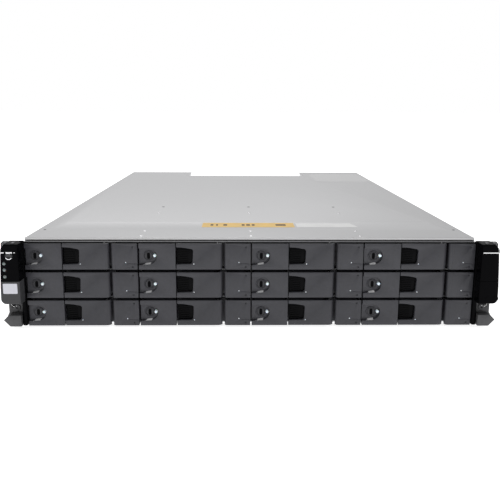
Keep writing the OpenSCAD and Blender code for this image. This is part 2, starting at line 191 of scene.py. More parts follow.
def prism(outline, axis, start, end, end_outline=None):
    """Solid with a drawn outline, carried along an axis; the far outline may differ point by point."""
    place = PLACE[axis]
    select_only()
    bpy.ops.mesh.primitive_circle_add(vertices=len(outline), fill_type="NGON")
    obj = bpy.context.object
    for vertex, (a, b) in zip(obj.data.vertices, outline):
        vertex.co = Vector(place(a, b, start)) * MM
    bpy.ops.object.mode_set(mode="EDIT")
    bpy.ops.mesh.select_all(action="SELECT")
    bpy.ops.mesh.extrude_region_move(
        TRANSFORM_OT_translate={"value": Vector(place(0, 0, end - start)) * MM})
    bpy.ops.object.mode_set(mode="OBJECT")
    if end_outline:
        moves = [(Vector(place(*old, end)) * MM, Vector(place(*new, end)) * MM)
                 for old, new in zip(outline, end_outline)]
        depth = "XYZ".index(axis)
        for vertex in obj.data.vertices:
            if abs(vertex.co[depth] - end * MM) < 1e-7:
                vertex.co = min(moves, key=lambda move: (move[0] - vertex.co).length)[1]
    return outward(obj)


def outward(obj):
    """Merges doubles and turns every face outwards."""
    select_only(obj)
    bpy.ops.object.mode_set(mode="EDIT")
    bpy.ops.mesh.select_all(action="SELECT")
    bpy.ops.mesh.remove_doubles(threshold=1e-7)
    bpy.ops.mesh.normals_make_consistent(inside=False)
    bpy.ops.object.mode_set(mode="OBJECT")
    return obj


def arc(x, y, radius, first, last, steps=8):
    """Points on a round stretch of an outline; angles in degrees."""
    turn = [math.radians(first + (last - first) * i / steps) for i in range(steps + 1)]
    return [(x + radius * math.cos(t), y + radius * math.sin(t)) for t in turn]


def rounded(low, high, radius, steps=5):
    """Outline of a rectangle with round corners."""
    (x0, y0), (x1, y1) = low, high
    left, right, lower, upper = x0 + radius, x1 - radius, y0 + radius, y1 - radius
    middles = ((right, upper), (left, upper), (left, lower), (right, lower))
    return [point for quarter, (x, y) in enumerate(middles)
            for point in arc(x, y, radius, 90 * quarter, 90 * quarter + 90, steps)]


def turned(profile, centre, axis="Y", steps=32):
    """Lathe-turned solid: profile points are (radius, distance along the axis), from end to end."""
    select_only()
    bpy.ops.mesh.primitive_circle_add(vertices=len(profile), fill_type="NOTHING")
    obj = bpy.context.object
    for vertex, (radius, along) in zip(obj.data.vertices, profile):
        vertex.co = Vector((radius, 0, along)) * MM
    bpy.ops.object.mode_set(mode="EDIT")
    bpy.ops.mesh.select_all(action="SELECT")
    bpy.ops.mesh.spin(steps=steps, angle=math.tau, center=(0, 0, 0), axis=(0, 0, 1))
    bpy.ops.mesh.select_all(action="SELECT")
    bpy.ops.mesh.remove_doubles(threshold=1e-6)
    bpy.ops.mesh.delete_loose()
    bpy.ops.mesh.select_all(action="SELECT")
    bpy.ops.mesh.normals_make_consistent(inside=False)
    bpy.ops.object.mode_set(mode="OBJECT")
    obj.rotation_euler = TURN[axis]
    obj.location = Vector(centre) * MM
    return baked(obj)


def ring(centre, radius, thickness, axis="Y", steps=40):
    """Round wire bent to a ring."""
    select_only()
    bpy.ops.mesh.primitive_torus_add(major_radius=radius * MM, minor_radius=thickness * MM / 2,
                                     major_segments=steps, minor_segments=8)
    obj = bpy.context.object
    obj.rotation_euler = TURN[axis]
    obj.location = Vector(centre) * MM
    return baked(obj)


def combine(obj, others, operation):
    for other in others:
        select_only(obj)
        bpy.ops.object.modifier_add(type="BOOLEAN")
        cut = obj.modifiers[-1]
        cut.operation = operation
        cut.solver = "EXACT"
        cut.object = other
        bpy.ops.object.modifier_apply(modifier=cut.name)
        bpy.data.objects.remove(other)
    return obj


def carve(obj, *cutters):
    return combine(obj, cutters, "DIFFERENCE")


def weld(obj, *others):
    return combine(obj, others, "UNION")


def grouped(*objects):
    """One object of several separate closed shells."""
    select_only(*objects)
    bpy.ops.object.join()
    return bpy.context.object


def soften(obj, width, segments=2, angle=30):
    """Rounds every edge that is sharper than an angle."""
    select_only(obj)
    bpy.ops.object.modifier_add(type="BEVEL")
    bevel = obj.modifiers[-1]
    bevel.width = width * MM
    bevel.segments = segments
    bevel.limit_method = "ANGLE"
    bevel.angle_limit = math.radians(angle)
    bpy.ops.object.modifier_apply(modifier=bevel.name)
    return obj


def pick(obj, kind, test):
    """Edit mode with only the faces or edges that pass a test selected."""
    select_only(obj)
    bpy.ops.object.mode_set(mode="EDIT")
    bpy.ops.mesh.select_mode(type={"faces": "FACE", "edges": "EDGE"}[kind])
    bpy.ops.mesh.select_all(action="DESELECT")
    shape = bmesh.from_edit_mesh(obj.data)
    for part in getattr(shape, kind):
        part.select_set(bool(test(part)))
    shape.select_flush_mode()
    bmesh.update_edit_mesh(obj.data)


def bevel_edges(obj, test, width, segments=4):
    """Rounds the edges whose two ends pass a test, given in millimetres."""
    pick(obj, "edges", lambda edge: test(*(vertex.co / MM for vertex in edge.verts)))
    bpy.ops.mesh.bevel(offset=width * MM, segments=segments, affect="EDGES")
    bpy.ops.object.mode_set(mode="OBJECT")
    return obj


def shifted(obj, move):
    """Moves a piece's mesh; the object stays at the origin."""
    obj.data.transform(Matrix.Translation(Vector(move) * MM))
    return obj


def copy_of(obj, move=(0, 0, 0), mirror=False):
    """Copy with a mesh of its own, moved, or mirrored about the middle of the enclosure."""
    twin = obj.copy()
    twin.data = obj.data.copy()
    bpy.context.scene.collection.objects.link(twin)
    if mirror:
        twin.data.transform(Matrix.Scale(-1, 4, (1, 0, 0)))
        twin.data.flip_normals()
    return shifted(twin, move)


def finish_piece(obj, name, material, body, replaces=()):
    """Names a piece, gives it its finish and hangs it on its body."""
    select_only(obj)
    bpy.ops.object.shade_smooth_by_angle(angle=SMOOTH_ANGLE)
    obj.name = name
    obj.data.name = name
    if material is not None:
        obj.data.materials.clear()
        obj.data.materials.append(finish(material))
    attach(obj, body)
    if replaces:
        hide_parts(*replaces)
    return obj


def in_every_bay(obj, part, material, body="carrier", replaces=False):
    """Puts copies of a piece, drawn from a bay's lower left front corner, into all bays."""
    for row in ROWS:
        for column in COLUMNS:
            bay = f"{row}{column}"
            low = corners(f"carrier_{bay}")[0]
            twin = copy_of(obj, (low.x - BAY_EDGE, low.y, low.z))
            nodes = (f"{body}_{bay}",) if replaces else ()
            finish_piece(twin, f"{part}_{bay}", material, f"{body}_{bay}", nodes)
    bpy.data.objects.remove(obj)


def both_sides(obj, part, material, body, replaces=()):
    """Keeps a piece on the right and puts its mirror image on the left."""
    for side in SIDES:
        twin = copy_of(obj, mirror=side == "left")
        nodes = tuple(f"{node}_{side}" for node in replaces)
        ridden = body if body == "chassis" else f"{body}_{side}"
        finish_piece(twin, f"{part}_{side}", material, ridden, nodes)
    bpy.data.objects.remove(obj)


def lofted(sections):
    """Closed shell through rings of points, with flat ends."""
    rings = [[Vector(point) * MM for point in section] for section in sections]
    select_only()
    bpy.ops.mesh.primitive_circle_add(vertices=len(rings[0]), fill_type="NGON")
    obj = bpy.context.object
    for vertex, point in zip(obj.data.vertices, rings[0]):
        vertex.co = point
    bpy.ops.object.mode_set(mode="EDIT")
    bpy.ops.mesh.select_all(action="SELECT")
    for before, after in zip(rings, rings[1:]):
        bpy.ops.mesh.extrude_region_move()
        shape = bmesh.from_edit_mesh(obj.data)
        for vertex in shape.verts:
            if vertex.select:
                nearest = min(range(len(before)), key=lambda i: (before[i] - vertex.co).length)
                vertex.co = after[nearest]
        bmesh.update_edit_mesh(obj.data)
    bpy.ops.object.mode_set(mode="OBJECT")
    return outward(obj)


# ---- finishes ----

FLOAT, TINT = "NodeSocketFloat", "NodeSocketColor"


def node_group(name, inputs, outputs, build):
    """A shader node group with named sockets, built once."""
    if name in bpy.data.node_groups:
        return bpy.data.node_groups[name]
    tree = bpy.data.node_groups.new(name, "ShaderNodeTree")
    for label, kind, default in inputs:
        socket = tree.interface.new_socket(label, in_out="INPUT", socket_type=kind)
        socket.default_value = default
    for label, kind in outputs:
        tree.interface.new_socket(label, in_out="OUTPUT", socket_type=kind)
    build(tree, tree.nodes.new("NodeGroupInput"), tree.nodes.new("NodeGroupOutput"))
    return tree


def math_node(tree, operation, first, second=None):
    node = tree.nodes.new("ShaderNodeMath")
    node.operation = operation
    for socket, value in zip(node.inputs, (first, second)):
        if isinstance(value, bpy.types.NodeSocket):
            tree.links.new(value, socket)
        elif value is not None:
            socket.default_value = value
    return node.outputs[0]


def span_node(tree, value, low, high, to_low, to_high):
    """Takes a value from one span to another, kept inside the new one."""
    node = tree.nodes.new("ShaderNodeMapRange")
    tree.links.new(value, node.inputs["Value"])
    for label, number_ in zip(("From Min", "From Max", "To Min", "To Max"), (low, high, to_low, to_high)):
        if isinstance(number_, bpy.types.NodeSocket):
            tree.links.new(number_, node.inputs[label])
        else:
            node.inputs[label].default_value = number_
    return node.outputs["Result"]


def mix_node(tree, factor, first, second):
    node = tree.nodes.new("ShaderNodeMix")
    node.data_type = "RGBA"
    for socket, value in ((node.inputs[0], factor), (node.inputs[6], first), (node.inputs[7], second)):
        if isinstance(value, bpy.types.NodeSocket):
            tree.links.new(value, socket)
        else:
            socket.default_value = value
    return node.outputs[2]


def noise_node(tree, scale, stretch=(1, 1, 1), detail=3.0):
    place = tree.nodes.new("ShaderNodeTexCoord")
    mapping = tree.nodes.new("ShaderNodeMapping")
    mapping.inputs["Scale"].default_value = stretch
    noise = tree.nodes.new("ShaderNodeTexNoise")
    noise.inputs["Detail"].default_value = detail
    tree.links.new(place.outputs["Object"], mapping.inputs["Vector"])
    tree.links.new(mapping.outputs["Vector"], noise.inputs["Vector"])
    if isinstance(scale, bpy.types.NodeSocket):
        tree.links.new(scale, noise.inputs["Scale"])
    else:
        noise.inputs["Scale"].default_value = scale
    return noise.outputs["Fac"]


def grain_group():
    """Fine moulded or painted grain, and slow blotches of tone."""
    def build(tree, given, result):
        tree.links.new(noise_node(tree, given.outputs["Scale"]), result.inputs["Height"])
        blotch = noise_node(tree, given.outputs["Blotch Scale"], detail=2.0)
        tree.links.new(span_node(tree, blotch, 0.3, 0.7, 0.0, 1.0), result.inputs["Blotch"])
    return node_group("Grain", [("Scale", FLOAT, 1500.0), ("Blotch Scale", FLOAT, 60.0)],
                      [("Height", FLOAT), ("Blotch", FLOAT)], build)


def brushing_group():
    """Rolling marks that run along X, as on sheet metal."""
    def build(tree, given, result):
        fine = noise_node(tree, given.outputs["Scale"], (0.02, 1, 1), 2.0)
        tree.links.new(span_node(tree, fine, 0.25, 0.75, 0.0, 1.0), result.inputs["Streak"])
    return node_group("Brushing", [("Scale", FLOAT, 700.0)], [("Streak", FLOAT)], build)


def spangle_group():
    """Crystal patches of a zinc coat."""
    def build(tree, given, result):
        place = tree.nodes.new("ShaderNodeTexCoord")
        cells = tree.nodes.new("ShaderNodeTexVoronoi")
        tree.links.new(place.outputs["Object"], cells.inputs["Vector"])
        tree.links.new(given.outputs["Scale"], cells.inputs["Scale"])
        parts = tree.nodes.new("ShaderNodeSeparateColor")
        tree.links.new(cells.outputs["Color"], parts.inputs["Color"])
        tree.links.new(parts.outputs["Red"], result.inputs["Patch"])
    return node_group("Spangle", [("Scale", FLOAT, 160.0)], [("Patch", FLOAT)], build)


def wear_group():
    """Paler tone along outer edges, broken up by noise."""
    def build(tree, given, result):
        shape = tree.nodes.new("ShaderNodeNewGeometry")
        edge = span_node(tree, shape.outputs["Pointiness"], 0.52, 0.62, 0.0, 1.0)
        gaps = span_node(tree, noise_node(tree, 400.0), 0.35, 0.6, 0.3, 1.0)
        broken = math_node(tree, "MULTIPLY", edge, gaps)
        mask = math_node(tree, "MULTIPLY", broken, given.outputs["Amount"])
        mixed = mix_node(tree, mask, given.outputs["Base"], given.outputs["Worn"])
        tree.links.new(mask, result.inputs["Mask"])
        tree.links.new(mixed, result.inputs["Color"])
    return node_group("Edge wear", [("Base", TINT, (0.1, 0.1, 0.1, 1)), ("Worn", TINT, (0.4, 0.4, 0.4, 1)),
                                    ("Amount", FLOAT, 0.3)], [("Color", TINT), ("Mask", FLOAT)], build)


def placed(tree, group, **values):
    node = tree.nodes.new("ShaderNodeGroup")
    node.node_tree = group
    for label, value in values.items():
        socket = node.inputs[label.replace("_", " ")]
        if isinstance(value, bpy.types.NodeSocket):
            tree.links.new(value, socket)
        else:
            socket.default_value = value
    return node


def shade(base, factor):
    return tuple(min(1.0, channel * factor) for channel in base[:3]) + (1.0,)


def surface(name, base, roughness, metallic=0.0, grain=1500.0, blotch=60.0, tone=0.06, bump=0.02,
            wear=0.25, coat=0.0, streak=0.0, spangle=0.0, specular=0.5):
    """A finish with grain, blotches of tone and worn edges; bump is in millimetres."""
    material = bpy.data.materials.new(name)
    material.use_nodes = True
    tree = material.node_tree
    shader = tree.nodes["Principled BSDF"]
    shader.inputs["Metallic"].default_value = metallic
    shader.inputs["Coat Weight"].default_value = coat
    shader.inputs["Coat Roughness"].default_value = 0.06
    shader.inputs["Specular IOR Level"].default_value = specular
    texture = placed(tree, grain_group(), Scale=grain, Blotch_Scale=blotch)
    pattern = texture.outputs["Blotch"]
    if streak:
        rolled = placed(tree, brushing_group(), Scale=700.0).outputs["Streak"]
        pattern = math_node(tree, "ADD", math_node(tree, "MULTIPLY", pattern, 1 - streak),
                            math_node(tree, "MULTIPLY", rolled, streak))
    if spangle:
        patch = placed(tree, spangle_group(), Scale=170.0).outputs["Patch"]
        pattern = math_node(tree, "ADD", math_node(tree, "MULTIPLY", pattern, 1 - spangle),
                            math_node(tree, "MULTIPLY", patch, spangle))
    toned = mix_node(tree, pattern, shade(base, 1 - tone), shade(base, 1 + tone))
    worn = placed(tree, wear_group(), Base=toned, Worn=shade(base, 1.9), Amount=wear)
    tree.links.new(worn.outputs["Color"], shader.inputs["Base Color"])
    uneven = span_node(tree, pattern, 0.0, 1.0, roughness * 0.88, roughness * 1.12)
    tree.links.new(uneven, shader.inputs["Roughness"])
    relief = tree.nodes.new("ShaderNodeBump")
    relief.inputs["Distance"].default_value = bump * MM
    relief.inputs["Strength"].default_value = 1.0
    tree.links.new(texture.outputs["Height"], relief.inputs["Height"])
    tree.links.new(relief.outputs["Normal"], shader.inputs["Normal"])
    return material


def board_finish(name, base):
    """Solder mask with tracks and plated holes showing through."""
    material = surface(name, base, 0.35, grain=900.0, blotch=40.0, tone=0.08, wear=0.0)
    tree = material.node_tree
    place = tree.nodes.new("ShaderNodeTexCoord")
    tracks = tree.nodes.new("ShaderNodeTexBrick")
    tracks.inputs["Scale"].default_value = 220.0
    tracks.inputs["Mortar Size"].default_value = 0.05
    tracks.inputs["Color1"].default_value = shade(base, 1.0)
    tracks.inputs["Color2"].default_value = shade(base, 0.8)
    tracks.inputs["Mortar"].default_value = shade(base, 1.8)
    turn = tree.nodes.new("ShaderNodeMapping")
    turn.inputs["Rotation"].default_value = (math.pi / 2, 0, 0)
    tree.links.new(place.outputs["Object"], turn.inputs["Vector"])
    tree.links.new(turn.outputs["Vector"], tracks.inputs["Vector"])
    tree.links.new(tracks.outputs["Color"], tree.nodes["Principled BSDF"].inputs["Base Color"])
    return material


def lamp_finish(name, base):
    """Milky light guide with a faint glow of its own."""
    material = surface(name, base, 0.25, grain=2500.0, tone=0.03, bump=0.005, wear=0.0, coat=0.4)
    shader = material.node_tree.nodes["Principled BSDF"]
    shader.inputs["Subsurface Weight"].default_value = 0.3
    shader.inputs["Emission Color"].default_value = shade(base, 1.0)
    shader.inputs["Emission Strength"].default_value = 0.15
    return material


def finish(name):
    """The named finish, made the first time it is asked for."""
    if name in bpy.data.materials:
        return bpy.data.materials[name]
    tints = bpy.context.scene.enclosure_colours
    plain = {
        "cover_steel": dict(base=tints.cover, roughness=0.42, metallic=0.55, tone=0.025, blotch=9.0,
                            grain=2200.0, bump=0.006, streak=0.35, wear=0.5),
        "front_moulding": dict(base=tints.front, roughness=0.45, tone=0.10, blotch=170.0, grain=2600.0,
                               bump=0.03, wear=0.35, specular=0.4),
        # near-white scoop colour: a painted glint on each pocket's lower lip
        "scoop_gloss": dict(base=(0.85, 0.85, 0.86), roughness=0.25, tone=0.05, bump=0.0, wear=0.0),
        # pale colour of the lip strip: a painted highlight of the cover's bend
        "lip_edge": dict(base=(0.86, 0.86, 0.87), roughness=0.4, tone=0.02, bump=0.004, wear=0.2),
        "lock_face": dict(base=shade(tints.front, 0.6), roughness=0.4, metallic=0.2, tone=0.12,
                          bump=0.01, wear=0.3),
        "latch_moulding": dict(base=tints.latch, roughness=0.35, tone=0.1, bump=0.02, wear=0.15,
                               specular=0.06),
        "gloss_black": dict(base=tints.gloss, roughness=0.12, tone=0.1, blotch=30.0, grain=300.0,
                            bump=0.004, wear=0.0, specular=0.03),
        "bar_black": dict(base=tints.gloss, roughness=0.5, tone=0.2, bump=0.02, wear=0.05,
                          specular=0.04),
        "ear_coat": dict(base=tints.ear, roughness=0.45, metallic=0.2, tone=0.12, blotch=120.0,
                         grain=1400.0, bump=0.05, wear=0.4),
        "zinc_sheet": dict(base=tints.zinc, roughness=0.38, metallic=0.85, tone=0.08, blotch=20.0,
                           bump=0.004, spangle=0.6, wear=0.2),
        "bright_steel": dict(base=(0.72, 0.72, 0.73), roughness=0.22, metallic=1.0, tone=0.05,
                             bump=0.004, wear=0.2),
        "dark_steel": dict(base=(0.12, 0.12, 0.125), roughness=0.35, metallic=0.8, tone=0.15, bump=0.01,
                           wear=0.5),
        "chrome": dict(base=(0.8, 0.8, 0.82), roughness=0.07, metallic=1.0, tone=0.02, bump=0.0,
                       wear=0.0),
        "button_face": dict(base=(0.05, 0.05, 0.052), roughness=0.12, metallic=0.9, tone=0.1, bump=0.0,
                            wear=0.0),
        "trim_silver": dict(base=(0.74, 0.74, 0.75), roughness=0.25, metallic=0.7, tone=0.04, bump=0.003,
                            wear=0.2),
        "cast_disk": dict(base=tints.disk, roughness=0.5, metallic=0.75, tone=0.1, blotch=150.0,
                          bump=0.04, wear=0.4),
        "disk_lid": dict(base=(0.6, 0.61, 0.62), roughness=0.3, metallic=0.9, tone=0.05, streak=0.6,
                         bump=0.004),
        "amber_label": dict(base=tints.label, roughness=0.45, tone=0.06, blotch=90.0, grain=900.0,
                            bump=0.004, wear=0.0),
        "pale_label": dict(base=tints.paper, roughness=0.5, tone=0.03, blotch=60.0, grain=900.0,
                           bump=0.004, wear=0.0),
        "label_ink": dict(base=(0.10, 0.06, 0.03), roughness=0.6, tone=0.15, blotch=500.0, bump=0.0,
                          wear=0.0),
        "window_grey": dict(base=(0.62, 0.62, 0.68), roughness=0.3, tone=0.04, blotch=90.0, bump=0.004,
                            wear=0.0),
        "lobe_grey": dict(base=(0.042, 0.042, 0.045), roughness=0.4, tone=0.1, bump=0.02, wear=0.2,
                          specular=0.3),
        "rear_paper": dict(base=shade(tints.cover, 0.98), roughness=0.55, tone=0.02, bump=0.004,
                           wear=0.0),
        "socket_black": dict(base=(0.008, 0.008, 0.009), roughness=0.45, tone=0.15, bump=0.02, wear=0.1,
                             specular=0.12),
        # dark coat of the dividers and shelves: partly their own colour, partly painted shade for the gaps
        # between carriers
        "inner_coat": dict(base=(0.085, 0.085, 0.09), roughness=0.4, metallic=0.3, tone=0.1, bump=0.01,
                           wear=0.4),
        "gold_contact": dict(base=(0.83, 0.62, 0.25), roughness=0.2, metallic=1.0, tone=0.04, bump=0.0,
                             wear=0.0),
        "release_green": dict(base=(0.03, 0.26, 0.16), roughness=0.4, tone=0.08, bump=0.02, wear=0.2),
    }
    if name == "circuit_board":
        return board_finish(name, tints.board)
    if name == "light_guide":
        return lamp_finish(name, (0.85, 0.87, 0.9))
    if name == "lamp_lens":
        return lamp_finish(name, (0.16, 0.17, 0.17))
    return surface(name, **plain[name])


# ---- case and cover ----

LABEL_THICK = 0.12
COVER_SHEET = 1.0                   # thickness of the cover
NOTCH_DEEP = 60                     # reach of the cover's rear notch
BAND_NEAR, BAND_FAR = 38, 82        # the stamped band's edges, behind the lip


def make_cover():
    """Folded top cover with its lip, stamped band and rear notch."""
    shape = bpy.context.scene.enclosure_shape
    bend = shape.bend / MM
    thick = COVER_SHEET
    x1 = COVER_HIGH.x
    skirt = COVER_LOW.z
    fold = ([(x1, skirt)] + arc(x1 - bend, TOP_Z - bend, bend, 0, 90, 5)
            + arc(bend - x1, TOP_Z - bend, bend, 90, 180, 5) + [(-x1, skirt), (thick - x1, skirt)]
            + [(thick - x1, TOP_Z - thick), (x1 - thick, TOP_Z - thick), (x1 - thick, skirt)])
    cover = prism(fold, "Y", LIP_Y + bend, COVER_END_Y)
    # front lip, folded down
    lip = prism([(LIP_Y, TOP_Z - 1.9), (LIP_Y + thick, TOP_Z - 1.9), (LIP_Y + thick, TOP_Z - thick),
                 (LIP_Y + bend + 1, TOP_Z - thick), (LIP_Y + bend + 1, TOP_Z)]
                + arc(LIP_Y + bend, TOP_Z - bend, bend, 90, 180, 5), "X", -x1 + 0.4, x1 - 0.4)
    weld(cover, lip)
    notch = corners("io_module_upper")[1].x + 0.5
    carve(cover, block((-notch, COVER_END_Y - NOTCH_DEEP, TOP_Z - 5), (notch, COVER_END_Y + 1, TOP_Z + 1)))
    # small relief holes at the notch's corners
    for x in (-notch, notch):
        carve(cover, rod((x, COVER_END_Y - NOTCH_DEEP, TOP_Z - 3), 1.8, 6, "Z", sides=20))
    near, far = LIP_Y + BAND_NEAR, LIP_Y + BAND_FAR
    wide, narrow, slope = x1 - 10, x1 - 22, 1.6
    upper = [(-wide, near), (wide, near), (narrow, far), (-narrow, far)]
    lower = [(-wide + slope, near + slope), (wide - slope, near + slope),
             (narrow - slope, far - slope), (-narrow + slope, far - slope)]
    depth = shape.band_depth / MM
    carve(cover, prism(lower, "Z", TOP_Z - depth, TOP_Z + 0.001, upper))
    finish_piece(cover, "top_cover_sheet", "cover_steel", "chassis", ("top_cover",))
    # pale slanted strip along the lip, a painted highlight of the bend, and a black strip under it, painted
    # shade in the gap between lip and rail
    edge = prism([(LIP_Y - 1.1, TOP_Z - 2.0), (LIP_Y + 0.3, TOP_Z - 2.0), (LIP_Y + 0.3, TOP_Z - 0.45),
                  (LIP_Y - 0.05, TOP_Z - 0.45)], "X", -x1 + 0.5, x1 - 0.5)
    finish_piece(soften(edge, 0.1, 1), "cover_lip_edge", "lip_edge", "chassis")
    rail_top = corners("bay_shelves")[1].z
    # black strip on the rail top behind the lip: painted shade of the gap under the lip
    lip_shade = block((3 - x1, LIP_Y - 4.6, rail_top - 0.05), (x1 - 3, LIP_Y - 0.2, rail_top + 0.25))
    finish_piece(soften(lip_shade, 0.1, 1), "cover_seal", "bar_black", "chassis")


def make_cover_rivets():
    """Bright rivets and small dark screws where the cover is held to the dividers and the walls."""
    rivets, screws = [], []
    z = TOP_Z - 0.05
    rivet_dome = [(0, 0), (1.9, 0), (1.8, 0.2), (1.2, 0.4), (0, 0.45)]
    screw_dome = [(0, 0), (1.5, 0), (1.3, 0.25), (0, 0.3)]
    for x in (corners("bay_dividers")[0].x + 0.4, 0.0, corners("bay_dividers")[1].x - 0.4):
        for y, wanted in ((7.5, rivets), (31, rivets), (137.0, rivets), (179.0, screws)):
            wanted.append(turned(rivet_dome, (x, LIP_Y + y, z), "Z", 20))
    finish_piece(grouped(*rivets), "cover_rivets", "bright_steel", "chassis", ("rivets",))
    for side in SIDES.values():
        screws.append(turned(screw_dome, (side * (COVER_HIGH.x - 8), LIP_Y + 37, z), "Z", 20))
    finish_piece(grouped(*screws), "cover_screws", "dark_steel", "chassis")


def label_on_cover(name, low, high, z, material, radius=1.5):
    """Round-cornered sticker that lies on the cover or on the floor of its band."""
    sticker = prism(rounded(low, high, radius), "Z", z, z + LABEL_THICK)
    finish_piece(sticker, name, material, "chassis")


def make_labels():
    """Blank labels on the cover, with plain blocks in place of any print."""
    band_floor = TOP_Z - bpy.context.scene.enclosure_shape.band_depth / MM
    y0, y1 = LIP_Y + 53, LIP_Y + 77
    label_on_cover("strip_label", (-52, y0), (48, y1), band_floor, "amber_label")
    slanted = prism([(50.5, y0 + 1), (116.5, y0 + 1), (111, y1 - 2), (50.5, y1 - 2)],
                    "Z", band_floor, band_floor + LABEL_THICK)
    finish_piece(slanted, "pale_label", "pale_label", "chassis")
    label_on_cover("rear_label", (122, LIP_Y + 442), (216, LIP_Y + 562), TOP_Z, "rear_paper", 3)
    blocks = [block((x, y0 + 8, band_floor + LABEL_THICK), (x + wide, y1 - 8, band_floor + 0.16))
              for x, wide in ((-43, 3), (-37, 2), (-29, 4), (-9, 3), (-4, 4), (2, 3), (28, 11))]
    printed = soften(grouped(*blocks), 0.015, 1)
    finish_piece(printed, "strip_label_blocks", "label_ink", "chassis")


def make_tub():
    """Case floor and side walls in one folded sheet, with rail studs and stiffening beads."""
    x1, end = CASE_HIGH.x, CASE_HIGH.y
    top, thick, bend = CASE_HIGH.z, 1.2, 2.0
    outline = ([(-x1, top)] + arc(-x1 + bend, bend, bend, 180, 270, 5)
               + arc(x1 - bend, bend, bend, 270, 360, 5) + [(x1, top), (x1 - thick, top)]
               + [(x1 - thick, thick), (-x1 + thick, thick), (-x1 + thick, top)])
    tub = prism(outline, "Y", CASE_LOW.y, end)
    # long beads pressed into the floor, and key slots in the walls
    for x in (-165, -55, 55, 165):
        bead = prism(rounded((x - 6, -180), (x + 6, 230), 5.9), "Z", -0.001, 0.5,
                     rounded((x - 5, -179), (x + 5, 229), 4.9))
        carve(tub, bead)
    for y in (-150, 20, 190):
        slot = weld(rod((-x1 - 1, y, 44), 4, 2 * x1 + 2, "X", sides=20),
                    rod((-x1 - 1, y - 6, 44), 2.2, 2 * x1 + 2, "X", sides=20))
        carve(tub, slot)
    finish_piece(tub, "case_tub", "zinc_sheet", "chassis", ("chassis_tub",))
    studs = []
    for y in (-205, -60, 85, 265):
        for z in (22, 62):
            studs.append(turned([(0, 0), (3.4, 0), (3.4, 0.25), (2.6, 0.55), (1.0, 0.65), (0, 0.5)],
                                (x1, y, z), "X", 20))
    both_sides(grouped(*studs), "wall_rivets", "bright_steel", "chassis")


def finish_inner_nodes():
    """Finishes of the frame's own pieces that stay in view."""
    # dividers and shelves get a dark coat that is partly painted shade in the gaps between carriers
    for node, material in {"bay_dividers": "inner_coat", "bay_shelves": "inner_coat",
                           "rear_frame": "zinc_sheet", "midplane_board": "circuit_board",
                           "midplane_connectors": "socket_black"}.items():
        obj = frame["nodes"][node]
        obj.data.materials.clear()
        obj.data.materials.append(finish(material))


# ---- rack ears, drawn at the right and mirrored ----

FLANGE_LOW, FLANGE_HIGH = corners("flange_right")
CAP_LOW, CAP_HIGH = corners("ear_cap_right")
BUTTON_LOW, BUTTON_HIGH = corners("power_button")
CAP_BACK = CAP_HIGH.y
PLATE_Y = CAP_BACK + 0.3            # front face of the flanges
CAP_BASE = 28.0                     # lower end of the caps
FOOT_Y = FLANGE_LOW.y               # front of the arrow-shaped feet
LOBE_TOP = 50.5                     # where a cap's lower moulding meets its polished part
TRIM_Z = 78.6
TRIM_HALF = 0.5                     # half of the bright line's height
LAMP_X, LAMP_ZS, LAMP_R = 232.4, (67.9, 61.8, 55.2), 1.75
LEG_SCREWS = [(y, z) for y in (-270, -244) for z in (16, 60)]


def make_flanges():
    """Steel brackets: plate with rack holes, leg along the case and arrow-shaped foot."""
    low, high, side_x = FLANGE_LOW, FLANGE_HIGH, CASE_HIGH.x
    plate = prism([(low.x, low.z), (high.x - 7.3, low.z), (high.x - 1.3, 9), (high.x - 3.8, 14),
                   (high.x - 3.8, 27), (high.x, 28.5), (high.x, high.z - 2), (high.x - 2, high.z),
                   (low.x, high.z)], "Y", PLATE_Y, PLATE_Y + 2)
    mount = next(item for item in frame["record"]["mounts"] if item["name"] == "rack_holes_right")
    middle = Vector(mount["pos_m"]) / MM
    half_spacing = mount["dims"]["spacing_y_mm"] / 2
    for z in (middle.z - half_spacing, middle.z + half_spacing):
        carve(plate, rod((middle.x, PLATE_Y - 1, z), mount["dims"]["hole_r_mm"], 4))
    soften(plate, 0.35, 2, 50)
    leg = block((side_x, PLATE_Y + 1.9, 4), (side_x + 1.2, high.y, 72))
    bevel_edges(leg, lambda a, b: min(a.y, b.y) > high.y - 1 and abs(a.x - b.x) > 1, 5, 4)
    for y, z in LEG_SCREWS:
        carve(leg, rod((side_x - 1, y, z), 2.2, 4, "X", sides=20))
    foot_x = CAP_LOW.x + 4.6
    foot = prism([(foot_x, low.z), (high.x - 7.3, low.z), (high.x - 1.3, 9), (high.x - 6.3, 14),
                  (foot_x, 14)], "Y", FOOT_Y, PLATE_Y + 0.1)
    soften(foot, 0.6, 2, 40)
    collar = turned([(1.5, 0.1), (2.9, 0.1), (2.9, -0.9), (2.5, -1.3), (1.9, -1.3), (1.5, -0.9)],
                    (228.9, PLATE_Y, 19.5), "Y", 24)
    carve(plate, rod((228.6, PLATE_Y - 1, 15.3), 0.9, 1.8, sides=16))
    flange = grouped(weld(plate, leg, foot), collar)
    both_sides(flange, "flange", "ear_coat", "chassis", ("flange",))
    screws = [turned([(0, 0), (3.8, 0), (3.5, 0.5), (2.0, 0.95), (0, 1.05)], (side_x + 1.15, y, z), "X", 24)
              for y, z in LEG_SCREWS]
    both_sides(grouped(*screws), "flange_screws", "bright_steel", "chassis")
    # captive rack screws in the lower holes, with the sprung tongue that holds them
    bolt = turned([(0, 0), (2.9, 0), (2.9, -3.6), (2.3, -4.2), (0, -4.2)],
                  (middle.x, PLATE_Y + 5, middle.z - half_spacing), "Y", 28)
    both_sides(bolt, "rack_screw", "socket_black", "chassis")
    tongue = prism([(229.4, 26.6), (230.2, 27.6), (224.9, 24.9), (225.6, 24.0)],
                   "Y", PLATE_Y - 1.4, PLATE_Y + 0.1)
    both_sides(soften(tongue, 0.2, 1, 40), "screw_tongue", "bright_steel", "chassis")


